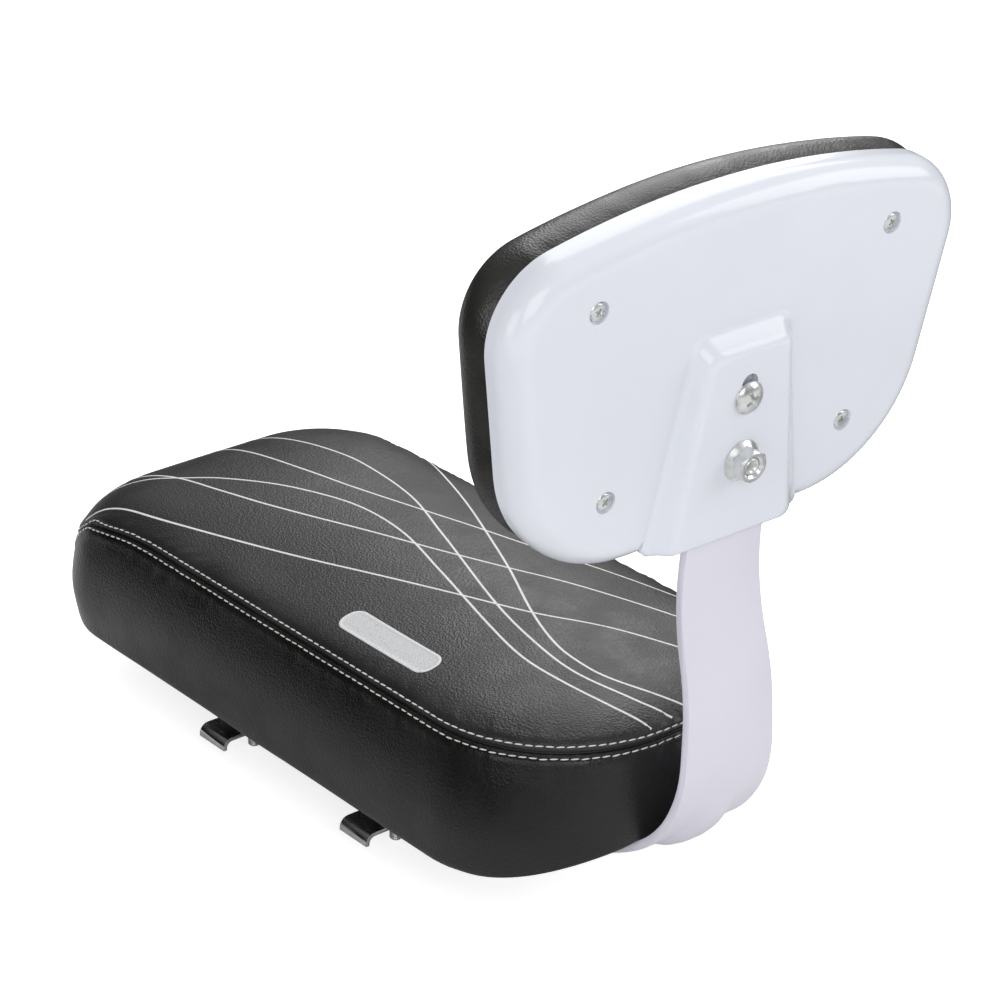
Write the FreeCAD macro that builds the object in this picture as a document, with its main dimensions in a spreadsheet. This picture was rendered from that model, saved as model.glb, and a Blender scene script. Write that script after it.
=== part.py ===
import FreeCAD, Part
import math
import os
import Sketcher

# Rear rack cushion seat. Millimetres and degrees.
# X points right, Y points forward, Z points up, and the origin lies under the middle of the seat board.
SIZES = {
    # Seat cushion: plan reach of the widest level, the cover, the board and the hem
    "seat_half_width": 86.0,
    "seat_front": 187.0,
    "seat_rear": 186.0,
    "cover_thickness": 1.2,
    "board_thickness": 9.0,
    "hem_width": 18.0,
    "hem_notch_clearance": 1.5,
    # Each cushion level: its height, how far it draws in at the sides, the front and the rear,
    # its front corners, and half of the flat left between its rear corners
    "hem_side": 3.5,
    "hem_front": 6.0,
    "hem_rear": 8.0,
    "hem_front_corner": 40.0,
    "hem_rear_flat": 16.5,
    "belly_height": 24.0,
    "belly_front_corner": 42.0,
    "belly_rear_flat": 18.0,
    "shoulder_height": 50.0,
    "shoulder_side": 2.5,
    "shoulder_front": 5.0,
    "shoulder_rear": 0.5,
    "shoulder_rear_flat": 15.5,
    "seam_height": 66.0,
    "seam_side": 7.5,
    "seam_front": 18.0,
    "seam_rear": 2.5,
    "seam_rear_flat": 10.5,
    "roll_height": 73.0,
    "roll_side": 16.0,
    "roll_front": 32.0,
    "roll_rear": 11.0,
    "roll_rear_flat": 2.0,
    "crown_height": 77.0,
    "crown_side": 36.0,
    "crown_front": 58.0,
    "crown_rear": 32.0,
    "crown_rear_flat": 2.0,
    "crown_front_corner": 30.0,
    # The seam drops over the nose on one arc
    "seam_drop_start": 96.0,
    "seam_drop_radius": 240.0,
    # Strap: bent flat bar, its bends from the seat up to the backrest
    "strap_thickness": 4.0,
    "strap_width": 50.0,
    "strap_top_width": 41.0,
    "strap_front": 22.0,
    "bend_start": 121.0,
    "heel_radius": 112.0,
    "heel_angle": 34.0,
    "knee_radius": 60.0,
    "knee_rise": 13.0,
    "lean_in_radius": 124.0,
    "lean_in_angle": 15.0,
    "lean_back_radius": 123.0,
    "lean": 6.6,
    "taper_foot": 45.0,
    "taper_head": 158.0,
    "strap_end_drop": 38.0,
    "underside_gap": 0.1,
    # Stiffening bead pressed out across the lower bends, its angle from straight down
    "bead_half_width": 15.5,
    "bead_height": 4.2,
    "bead_shift": 20.0,
    "bead_angle": 38.0,
    # Fasteners of the seat: M6 carriage bolts, washers and nuts
    "bolt_diameter": 6.0,
    "thread_clearance": 0.2,
    "hole_clearance": 0.4,
    "carriage_head_diameter": 14.0,
    "carriage_head_height": 3.0,
    "washer_diameter": 14.0,
    "washer_thickness": 1.5,
    "nut_across_flats": 10.0,
    "nut_height": 5.0,
    "strap_bolt_end": 2.0,
    "clamp_bolt_end": 6.0,
    "strap_bolt_half_span": 14.0,
    "strap_bolt_front": 8.0,
    "strap_bolt_rear": 98.0,
    # Rack clamps
    "clamp_y": 55.0,
    "clamp_drop": 13.0,
    "clamp_width": 20.0,
    "clamp_thickness": 2.0,
    "clamp_half_length": 79.0,
    "clamp_lip": 6.0,
    "clamp_bend_radius": 3.0,
    "clamp_bolt_half_span": 55.0,
    # Backrest shell, in the backrest's own frame: X right, Y up its back, Z out of its back
    "backrest_reach": 126.0,
    "shell_depth": 15.5,
    "shell_wall": 3.2,
    "shell_edge_radius": 11.0,
    "upper_corner_x": 84.0,
    "upper_corner_y": 13.0,
    "upper_corner_radius": 34.0,
    "lower_corner_x": 47.5,
    "lower_corner_y": 60.5,
    "lower_corner_radius": 62.0,
    "top_crown_radius": 410.0,
    "boss_height": 7.4,
    "boss_top": 34.0,
    "boss_bottom": 121.0,
    "boss_top_half": 22.5,
    "boss_bottom_half": 31.5,
    "boss_head_draft": 5.0,
    "boss_top_draft": 2.0,
    "boss_bottom_draft": 7.5,
    "boss_root": 3.2,
    "boss_edge": 3.2,
    "boss_corner_radius": 7.0,
    "boss_bottom_radius": 4.0,
    "strap_slip": 0.3,
    "strap_end_gap": 0.5,
    "upper_bolt_y": 56.5,
    "lower_bolt_y": 84.5,
    "adjust_slot_length": 16.0,
    "adjust_slot_rise": 2.5,
    # Screws that hold the shell to the pad
    "screw_upper_x": 76.5,
    "screw_upper_y": 2.5,
    "screw_lower_x": 63.5,
    "screw_lower_y": 88.5,
    "screw_recess_diameter": 9.6,
    "screw_recess_depth": 2.0,
    "screw_head_diameter": 8.0,
    "screw_head_height": 1.8,
    "screw_diameter": 3.5,
    "screw_length": 8.0,
    # Backrest pad: board, and levels counted forward from the shell's back plane
    "pad_board_thickness": 7.0,
    "pad_hem_width": 8.0,
    "pad_hem_inset": 14.0,
    "pad_nest_depth": 9.0,
    "pad_nest_inset": 5.8,
    "pad_rim_depth": 14.5,
    "pad_rim_inset": 3.9,
    "pad_swell_depth": 27.0,
    "pad_swell_inset": -0.5,
    "pad_edge_depth": 38.0,
    "pad_edge_inset": 5.0,
    "pad_crown_depth": 44.0,
    "pad_crown_inset": 17.0,
    "pad_face_depth": 46.0,
    "pad_face_inset": 29.0,
    # Backrest fasteners: M8
    "back_bolt_diameter": 8.0,
    "back_bolt_recess": 1.0,
    "back_head_diameter": 18.0,
    "back_head_height": 3.5,
    "truss_diameter": 14.5,
    "truss_height": 4.6,
    "tee_flange_diameter": 20.0,
    "tee_flange_thickness": 1.4,
    "tee_barrel_diameter": 10.0,
    "flange_nut_diameter": 17.9,
    "flange_nut_rim": 1.5,
    "flange_nut_skirt": 3.0,
    "flange_nut_across_flats": 13.0,
    "flange_nut_height": 8.0,
}


class Size:
    """A number that carries the sheet formula it comes from."""

    def __init__(self, number, formula):
        self.number = number
        self.formula = formula

    def __add__(self, other):
        other = as_size(other)
        return Size(self.number + other.number, f"({self.formula} + {other.formula})")

    def __radd__(self, other):
        return as_size(other) + self

    def __sub__(self, other):
        other = as_size(other)
        return Size(self.number - other.number, f"({self.formula} - {other.formula})")

    def __rsub__(self, other):
        return as_size(other) - self

    def __mul__(self, other):
        other = as_size(other)
        return Size(self.number * other.number, f"({self.formula} * {other.formula})")

    def __rmul__(self, other):
        return as_size(other) * self

    def __truediv__(self, other):
        other = as_size(other)
        return Size(self.number / other.number, f"({self.formula} / {other.formula})")

    def __neg__(self):
        return Size(-self.number, f"(0 - {self.formula})")


def as_size(value):
    """Take a plain number as a size."""
    return value if isinstance(value, Size) else Size(float(value), f"{float(value)}")


def sine(angle):
    """Sine of an angle in degrees."""
    return Size(math.sin(math.radians(angle.number)), f"sin({angle.formula} * 1 deg)")


def cosine(angle):
    """Cosine of an angle in degrees."""
    return Size(math.cos(math.radians(angle.number)), f"cos({angle.formula} * 1 deg)")


def root(value):
    """Square root of a size."""
    return Size(math.sqrt(value.number), f"sqrt({value.formula})")


doc = FreeCAD.newDocument("rear_rack_seat")
sheet = doc.addObject("Spreadsheet::Sheet", "Sizes")
for row, (alias, number) in enumerate(SIZES.items(), start=1):
    sheet.set(f"A{row}", alias)
    sheet.set(f"B{row}", str(number))
    sheet.setAlias(f"B{row}", alias)
doc.recompute()
S = {alias: Size(number, f"Sizes.{alias}") for alias, number in SIZES.items()}
NODES = []


def bind(thing, path, size):
    """Tie one property of an object to the sheet."""
    thing.setExpression(path, as_size(size).formula)


def place(thing, x=0, y=0, z=0):
    """Tie an object's place to the sheet."""
    for axis, size in zip("xyz", (x, y, z)):
        bind(thing, f"Placement.Base.{axis}", size)
    return thing


def node(thing, label):
    """Name a finished piece and list it for writing."""
    thing.Label = label
    NODES.append(thing)
    return thing


def plane(body, role):
    """Find one of a body's own origin planes."""
    return next(item for item in body.Origin.OriginFeatures if item.Role == role)


def new_sketch(body, name, role, offset=0):
    """Start a sketch on a body's own plane, moved along the plane's normal."""
    sketch = body.newObject("Sketcher::SketchObject", name)
    sketch.AttachmentSupport = [(plane(body, role), "")]
    sketch.MapMode = "FlatFace"
    bind(sketch, "AttachmentOffset.Base.z", offset)
    return sketch


def hold(sketch, kind, geometry, size, point=None):
    """Add a dimension to a sketch and tie it to the sheet."""
    size = as_size(size)
    if point is None:
        constraint = Sketcher.Constraint(kind, geometry, size.number)
    elif size.number < 0:
        size = -size
        constraint = Sketcher.Constraint(kind, geometry, point, -1, 1, size.number)
    else:
        constraint = Sketcher.Constraint(kind, -1, 1, geometry, point, size.number)
    index = sketch.addConstraint(constraint)
    bind(sketch, f"Constraints[{index}]", size)


def pin(sketch, geometry, point, x, y):
    """Hold a point of a sketch at its two coordinates."""
    hold(sketch, "DistanceX", geometry, x, point)
    hold(sketch, "DistanceY", geometry, y, point)


def flat(x, y):
    """A sketch vector from two numbers."""
    return FreeCAD.Vector(x, y, 0)


def polygon(sketch, corners):
    """Draw a closed loop of straight lines through corners that the sheet holds."""
    count = len(corners)
    first = sketch.GeometryCount
    for index in range(count):
        start, end = corners[index], corners[(index + 1) % count]
        line = Part.LineSegment(
            flat(start[0].number, start[1].number), flat(end[0].number, end[1].number))
        sketch.addGeometry(line, False)
    for index in range(count):
        following = first + (index + 1) % count
        sketch.addConstraint(Sketcher.Constraint("Coincident", first + index, 2, following, 1))
        pin(sketch, first + index, 1, *corners[index])


def circle(sketch, x, y, diameter):
    """Draw a circle that the sheet holds."""
    x, y, diameter = as_size(x), as_size(y), as_size(diameter)
    normal = FreeCAD.Vector(0, 0, 1)
    shape = Part.Circle(flat(x.number, y.number), normal, diameter.number / 2)
    index = sketch.addGeometry(shape, False)
    pin(sketch, index, 3, x, y)
    hold(sketch, "Diameter", index, diameter)


def line_normals(here, there):
    """Outward normal where a straight line leaves one rounded corner for the next."""
    run_x = there[0].number - here[0].number
    run_y = there[1].number - here[1].number
    length = math.hypot(run_x, run_y)
    along = (here[2].number - there[2].number) / length
    across = math.sqrt(1 - along * along)
    normal = (run_x * along + run_y * across) / length, (run_y * along - run_x * across) / length
    return normal, normal


def crown_normals(here, there, radius):
    """Outward normals where a wide arc leaves one rounded corner and meets its mirror image."""
    reach = radius.number - here[2].number
    across = here[0].number / reach
    upright = math.sqrt(1 - across * across)
    return (across, upright), (-across, upright)


def rounded_loop(sketch, corners, crown=None):
    """Draw rounded corners, counterclockwise, joined by tangent lines.

    A crown is the radius of the arc that joins the first corner to the second instead of a line.
    """
    count = len(corners)
    first = sketch.GeometryCount
    leaving, meeting = [], [None] * count
    for index in range(count):
        here, there = corners[index], corners[(index + 1) % count]
        if crown is not None and index == 0:
            out, into = crown_normals(here, there, crown)
        else:
            out, into = line_normals(here, there)
        leaving.append(out)
        meeting[(index + 1) % count] = into
    upward = FreeCAD.Vector(0, 0, 1)
    for (x, y, radius), out, into in zip(corners, leaving, meeting):
        base = Part.Circle(flat(x.number, y.number), upward, radius.number)
        start = math.atan2(into[1], into[0])
        end = math.atan2(out[1], out[0])
        sketch.addGeometry(Part.ArcOfCircle(base, start, end if end > start else end + math.tau), False)
    for index in range(count):
        here, there = corners[index], corners[(index + 1) % count]
        if crown is not None and index == 0:
            reach = crown.number - here[2].number
            centre_y = here[1].number - reach * leaving[0][1]
            base = Part.Circle(flat(0, centre_y), upward, crown.number)
            start = math.atan2(leaving[0][1], leaving[0][0])
            joint = Part.ArcOfCircle(base, start, math.pi - start)
        else:
            ends = []
            for corner, normal in ((here, leaving[index]), (there, meeting[(index + 1) % count])):
                radius = corner[2].number
                ends.append(flat(corner[0].number + radius * normal[0], corner[1].number + radius * normal[1]))
            joint = Part.LineSegment(*ends)
        sketch.addGeometry(joint, False)
    for index, (x, y, radius) in enumerate(corners):
        arc, joint = first + index, first + count + index
        following = first + (index + 1) % count
        pin(sketch, arc, 3, x, y)
        hold(sketch, "Radius", arc, radius)
        sketch.addConstraint(Sketcher.Constraint("Tangent", arc, 2, joint, 1))
        sketch.addConstraint(Sketcher.Constraint("Tangent", joint, 2, following, 1))
    if crown is not None:
        hold(sketch, "Radius", first + count, crown)


def new_body(name):
    """Start a body."""
    return doc.addObject("PartDesign::Body", name)


def through(body, name, sketch):
    """Cut a sketch right through a body, both ways."""
    pocket = body.newObject("PartDesign::Pocket", name)
    pocket.Profile = sketch
    pocket.Type = "ThroughAll"
    pocket.SideType = "Symmetric"
    return pocket


def pad(body, name, sketch, length, both=False):
    """Raise a sketch along its normal, or both ways from it."""
    feature = body.newObject("PartDesign::Pad", name)
    feature.Profile = sketch
    feature.SideType = "Symmetric" if both else "One side"
    bind(feature, "Length", length)
    return feature


def round_edges(body, name, feature, edges, radius):
    """Round some of a feature's edges."""
    fillet = body.newObject("PartDesign::Fillet", name)
    fillet.Base = (feature, edges)
    bind(fillet, "Radius", radius)
    return fillet


def turned(name, profile, x=0, y=0, z=0):
    """Turn a profile of radii and heights about its own upright axis."""
    body = new_body(name)
    sketch = new_sketch(body, name + "Profile", "XZ_Plane")
    polygon(sketch, [(as_size(radius), as_size(height)) for radius, height in profile])
    turn = body.newObject("PartDesign::Revolution", name + "Turn")
    turn.Profile = sketch
    turn.ReferenceAxis = (sketch, ["V_Axis"])
    turn.Angle = 360
    return place(body, x, y, z)


def cylinder(name, diameter, height, x=0, y=0, z=0):
    """A round bar standing on its place."""
    bar = doc.addObject("Part::Cylinder", name)
    bind(bar, "Radius", as_size(diameter) / 2)
    bind(bar, "Height", height)
    return place(bar, x, y, z)


def hexagon(name, across_flats, height, x=0, y=0, z=0):
    """A hexagon bar standing on its place."""
    bar = doc.addObject("Part::Prism", name)
    bar.Polygon = 6
    bind(bar, "Circumradius", across_flats / (2 * math.cos(math.pi / 6)))
    bind(bar, "Height", height)
    return place(bar, x, y, z)


def box(name, length, width, height, x=0, y=0, z=0):
    """A block from its lowest corner."""
    block = doc.addObject("Part::Box", name)
    for side, size in (("Length", length), ("Width", width), ("Height", height)):
        bind(block, side, size)
    return place(block, x, y, z)


def fuse(name, shapes):
    """Join shapes into one."""
    joined = doc.addObject("Part::MultiFuse", name)
    joined.Shapes = shapes
    return joined


def cut(name, base, tools):
    """Cut tools out of a base."""
    result = doc.addObject("Part::Cut", name)
    result.Base = base
    result.Tool = tools[0] if len(tools) == 1 else fuse(name + "Tools", tools)
    return result


def common(name, base, tool):
    """Keep what two shapes share."""
    result = doc.addObject("Part::Common", name)
    result.Base = base
    result.Tool = tool
    return result


def group(name, shapes):
    """Keep like pieces together as separate solids."""
    compound = doc.addObject("Part::Compound", name)
    compound.Links = shapes
    return compound


def edges_at(shape, height):
    """Names of a shape's edges that lie flat at one height."""
    names = []
    for index, edge in enumerate(shape.Edges, start=1):
        bounds = edge.BoundBox
        if abs(bounds.ZMin - height) < 1e-4 and abs(bounds.ZMax - height) < 1e-4:
            names.append(f"Edge{index}")
    return names


# Seat cushion

def seat_levels():
    """Heights, draw-ins, front corners and rear flats of the cushion's levels, from hem to crown."""
    corner = S["belly_front_corner"]
    none = as_size(0)
    yield (-S["cover_thickness"], S["hem_side"], S["hem_front"], S["hem_rear"],
           S["hem_front_corner"], S["hem_rear_flat"])
    yield (S["belly_height"], none, none, none, corner, S["belly_rear_flat"])
    for name in ("shoulder", "seam", "roll"):
        yield (S[name + "_height"], S[name + "_side"], S[name + "_front"], S[name + "_rear"],
               corner, S[name + "_rear_flat"])
    yield (S["crown_height"], S["crown_side"], S["crown_front"], S["crown_rear"],
           S["crown_front_corner"], S["crown_rear_flat"])


def cushion(name, inset):
    """Loft the cushion through its levels, drawn in all round by an inset."""
    body = new_body(name)
    sketches = []
    levels = list(seat_levels())
    for index, (height, side, front, rear, front_corner, rear_flat) in enumerate(levels):
        if index == 0:
            height = height + inset
        elif index >= len(levels) - 2:
            height = height - inset
        half = S["seat_half_width"] - side - inset
        ahead = S["seat_front"] - front - inset
        behind = S["seat_rear"] - rear - inset
        front_radius = front_corner - inset
        rear_radius = half - rear_flat
        sketch = new_sketch(body, f"{name}Level{index}", "XY_Plane", height)
        rounded_loop(sketch, [
            (half - front_radius, ahead - front_radius, front_radius),
            (-(half - front_radius), ahead - front_radius, front_radius),
            (-rear_flat, -(behind - rear_radius), rear_radius),
            (rear_flat, -(behind - rear_radius), rear_radius),
        ])
        sketches.append(sketch)
    loft = body.newObject("PartDesign::AdditiveLoft", name + "Loft")
    loft.Profile = sketches[0]
    loft.Sections = sketches[1:]
    loft.Ruled = True
    return body


def underside(name, lift):
    """The space under the seat: flat, then curving up over the strap's heel bend.

    Lift is how high its top lies above the board's underside.
    """
    body = new_body(name)
    sketch = new_sketch(body, name + "Profile", "YZ_Plane")
    reach = S["seat_front"] + S["seat_rear"]
    start = -S["bend_start"]
    radius = S["heel_radius"] - S["strap_thickness"] / 2 - S["underside_gap"] - lift
    centre = S["heel_radius"] - S["strap_thickness"] / 2
    top = -S["seat_rear"] - S["strap_thickness"]
    drop = -S["seat_rear"]
    rise = math.asin((start - top).number / radius.number)
    top_z = centre.number - radius.number * math.cos(rise)
    level = centre - radius
    base = Part.Circle(flat(start.number, centre.number), FreeCAD.Vector(0, 0, 1), radius.number)
    sketch.addGeometry(Part.ArcOfCircle(base, 1.5 * math.pi - rise, 1.5 * math.pi), False)
    points = [
        flat(start.number, level.number),
        flat(reach.number, level.number),
        flat(reach.number, drop.number),
        flat(top.number, drop.number),
        flat(top.number, top_z),
    ]
    for begin, end in zip(points, points[1:]):
        sketch.addGeometry(Part.LineSegment(begin, end), False)
    pin(sketch, 0, 3, start, centre)
    hold(sketch, "Radius", 0, radius)
    sketch.addConstraint(Sketcher.Constraint("Tangent", 0, 2, 1, 1))
    sketch.addConstraint(Sketcher.Constraint("Horizontal", 1))
    for index in (1, 2, 3):
        sketch.addConstraint(Sketcher.Constraint("Coincident", index, 2, index + 1, 1))
    sketch.addConstraint(Sketcher.Constraint("Coincident", 4, 2, 0, 1))
    sketch.addConstraint(Sketcher.Constraint("Vertical", 4))
    sketch.addConstraint(Sketcher.Constraint("Vertical", 2))
    sketch.addConstraint(Sketcher.Constraint("Horizontal", 3))
    pin(sketch, 3, 1, reach, drop)
    hold(sketch, "DistanceX", 4, top, 1)
    pad(body, name + "Pad", sketch, 3 * S["seat_half_width"], both=True)
    return body


def above_seam():
    """The space above the seam: level along the seat, then dropping over the nose on one arc."""
    body = new_body("AboveSeam")
    sketch = new_sketch(body, "AboveSeamProfile", "YZ_Plane")
    radius = S["seam_drop_radius"]
    start = S["seam_drop_start"]
    ahead = S["seat_front"] + S["board_thickness"]
    behind = -S["seat_rear"] - S["board_thickness"]
    over = 2 * S["crown_height"]
    centre = S["seam_height"] - radius
    sweep = math.asin((ahead - start).number / radius.number)
    base = Part.Circle(flat(start.number, centre.number), FreeCAD.Vector(0, 0, 1), radius.number)
    sketch.addGeometry(Part.ArcOfCircle(base, math.pi / 2 - sweep, math.pi / 2), False)
    nose_z = centre.number + radius.number * math.cos(sweep)
    points = [
        flat(start.number, S["seam_height"].number),
        flat(behind.number, S["seam_height"].number),
        flat(behind.number, over.number),
        flat(ahead.number, over.number),
        flat(ahead.number, nose_z),
    ]
    for begin, end in zip(points, points[1:]):
        sketch.addGeometry(Part.LineSegment(begin, end), False)
    pin(sketch, 0, 3, start, centre)
    hold(sketch, "Radius", 0, radius)
    sketch.addConstraint(Sketcher.Constraint("Tangent", 0, 2, 1, 1))
    sketch.addConstraint(Sketcher.Constraint("Horizontal", 1))
    for index in (1, 2, 3):
        sketch.addConstraint(Sketcher.Constraint("Coincident", index, 2, index + 1, 1))
    sketch.addConstraint(Sketcher.Constraint("Coincident", 4, 2, 0, 1))
    sketch.addConstraint(Sketcher.Constraint("Vertical", 2))
    sketch.addConstraint(Sketcher.Constraint("Horizontal", 3))
    sketch.addConstraint(Sketcher.Constraint("Vertical", 4))
    pin(sketch, 2, 2, behind, over)
    hold(sketch, "DistanceX", 4, ahead, 1)
    pad(body, "AboveSeamPad", sketch, 3 * S["seat_half_width"], both=True)
    return body


def seat_holes():
    """Places of the carriage bolts in the board: the strap's and the clamps'."""
    strap = [(side * S["strap_bolt_half_span"], -y)
             for y in (S["strap_bolt_front"], S["strap_bolt_rear"]) for side in (-1, 1)]
    clamp = [(side * S["clamp_bolt_half_span"], end * S["clamp_y"]) for end in (1, -1) for side in (-1, 1)]
    return strap, clamp


STRAP_BOLTS, CLAMP_BOLTS = seat_holes()
HOLE = S["bolt_diameter"] + S["hole_clearance"]
HEAD_SEAT = S["carriage_head_diameter"] + S["hole_clearance"]
BACK_HOLE = S["back_bolt_diameter"] + S["hole_clearance"]
BOARD_TOP = S["underside_gap"] + S["board_thickness"]
HEAD_FLOOR = BOARD_TOP - S["carriage_head_height"]
# The bead's section: shares of its half width, and how far the rim has fallen there
BEAD_RIM = ((1, 1.15), (0.72, 0.62), (0.45, 0.15), (0.2, 0))


def seat():
    """Board, foam and the two cover panels."""
    inner = cushion("SeatInner", S["cover_thickness"])
    outer = cushion("SeatOuter", as_size(0))
    under_board = underside("UnderBoard", as_size(0))
    over_board = underside("OverBoard", S["board_thickness"])
    under_cover = underside("UnderCover", -S["cover_thickness"])
    filling = cut("SeatFilling", inner, [under_board])
    slab = common("SeatSlab", filling, over_board)
    tools = []
    for index, (x, y) in enumerate(STRAP_BOLTS + CLAMP_BOLTS):
        tools.append(cylinder(f"BoardHole{index}", HOLE, BOARD_TOP, x, y))
        tools.append(cylinder(f"HeadSeat{index}", HEAD_SEAT, S["board_thickness"], x, y, HEAD_FLOOR))
    node(cut("SeatBoard", slab, tools), "seat_base_board")
    node(cut("SeatFoam", filling, [over_board]), "seat_foam")

    seam_knife = above_seam()
    skin = cut("SeatSkin", outer, [inner, under_cover])
    node(common("TopPanel", skin, seam_knife), "seat_top_panel")
    opening = new_body("HemOpening")
    inset = S["hem_width"]
    half = S["seat_half_width"] - S["hem_side"] - inset
    ahead = S["seat_front"] - S["hem_front"] - inset
    behind = S["seat_rear"] - S["hem_rear"] - inset
    front_radius = S["hem_front_corner"] - inset
    rear_radius = half - S["hem_rear_flat"]
    sketch = new_sketch(opening, "HemOpeningOutline", "XY_Plane")
    rounded_loop(sketch, [
        (half - front_radius, ahead - front_radius, front_radius),
        (-(half - front_radius), ahead - front_radius, front_radius),
        (-S["hem_rear_flat"], -(behind - rear_radius), rear_radius),
        (S["hem_rear_flat"], -(behind - rear_radius), rear_radius),
    ])
    pad(opening, "HemOpeningPad", sketch, S["crown_height"], both=True)
    hollow = common("HemHollow", opening, under_board)
    notch_width = S["strap_width"] + 2 * S["hem_notch_clearance"]
    notch = box("StrapNotch", notch_width, S["seat_rear"], S["crown_height"],
                -notch_width / 2, -S["seat_rear"] - S["bend_start"], -S["board_thickness"])
    strap_way = common("StrapWay", notch, under_board)
    node(cut("SideBand", skin, [seam_knife, hollow, strap_way]), "seat_side_band")


# Strap

def strap_path():
    """Points of the strap's middle line, in Y and Z, from the seat up to the backrest."""
    heel, lean_in, lean = S["heel_angle"], S["lean_in_angle"], S["lean"]
    points = [(S["strap_front"], -S["strap_thickness"] / 2)]
    points.append((-S["bend_start"], -S["strap_thickness"] / 2))
    y, z = points[-1]
    y, z = y - S["heel_radius"] * sine(heel), z + S["heel_radius"] * (1 - cosine(heel))
    points.append((y, z))
    y, z = y - S["knee_radius"] * (1 - sine(heel)), z + S["knee_radius"] * cosine(heel)
    points.append((y, z))
    z = z + S["knee_rise"]
    points.append((y, z))
    y, z = y + S["lean_in_radius"] * (1 - cosine(lean_in)), z + S["lean_in_radius"] * sine(lean_in)
    points.append((y, z))
    y = y + S["lean_back_radius"] * (cosine(lean) - cosine(lean_in))
    z = z + S["lean_back_radius"] * (sine(lean_in) + sine(lean))
    points.append((y, z))
    length = S["backrest_reach"] - S["strap_end_drop"]
    points.append((y - length * sine(lean), z + length * cosine(lean)))
    return points


PATH = strap_path()
FOOT_Y, FOOT_Z = PATH[-2]
STRAP_FRONT_FACE = S["strap_slip"] / 2
STRAP_OFFSET = STRAP_FRONT_FACE + S["strap_thickness"] / 2
BACK_Y = FOOT_Y - S["backrest_reach"] * sine(S["lean"]) + STRAP_OFFSET * cosine(S["lean"])
BACK_Z = FOOT_Z + S["backrest_reach"] * cosine(S["lean"]) + STRAP_OFFSET * sine(S["lean"])


def on_backrest(thing):
    """Lean a finished piece back and put it in the backrest's place."""
    turn = FreeCAD.Rotation(FreeCAD.Vector(1, 0, 0), 90 + S["lean"].number)
    thing.Placement = FreeCAD.Placement(FreeCAD.Vector(), turn)
    bind(thing, "Placement.Rotation.Angle", 90 + S["lean"])
    return place(thing, 0, BACK_Y, BACK_Z)


def bend(sketch, start, end, radius, start_angle, sweep):
    """Add one arc of the strap's path; a left-hand bend has its centre on the path's left.

    Returns the arc's number and which of its ends the path enters and leaves by.
    """
    turn = 1 if sweep > 0 else -1
    angle = math.radians(start_angle)
    centre = flat(start[0].number - turn * radius.number * math.sin(angle),
                  start[1].number + turn * radius.number * math.cos(angle))
    base = Part.Circle(centre, FreeCAD.Vector(0, 0, 1), radius.number)
    ends = []
    for point in (start, end):
        ends.append(math.atan2(point[1].number - centre.y, point[0].number - centre.x))
    first, last = ends if turn > 0 else reversed(ends)
    index = sketch.addGeometry(Part.ArcOfCircle(base, first, last if last > first else last + math.tau), False)
    hold(sketch, "Radius", index, radius)
    return (index, 1, 2) if turn > 0 else (index, 2, 1)


def bead_wheel(name, crest, y, z):
    """A wheel on an axis across the strap, its rim rounded to the bead's section."""
    body = new_body(name)
    sketch = new_sketch(body, name + "Section", "XZ_Plane")
    rim = [(share * S["bead_half_width"], crest - fall * S["bead_height"]) for share, fall in BEAD_RIM]
    mirrored = [(-x, radius) for x, radius in reversed(rim)]
    foot = S["bead_half_width"]
    polygon(sketch, [(foot, as_size(0)), *rim, *mirrored, (-foot, as_size(0))])
    turn = body.newObject("PartDesign::Revolution", name + "Turn")
    turn.Profile = sketch
    turn.ReferenceAxis = (sketch, ["H_Axis"])
    turn.Angle = 360
    return place(body, 0, y, z)


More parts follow.
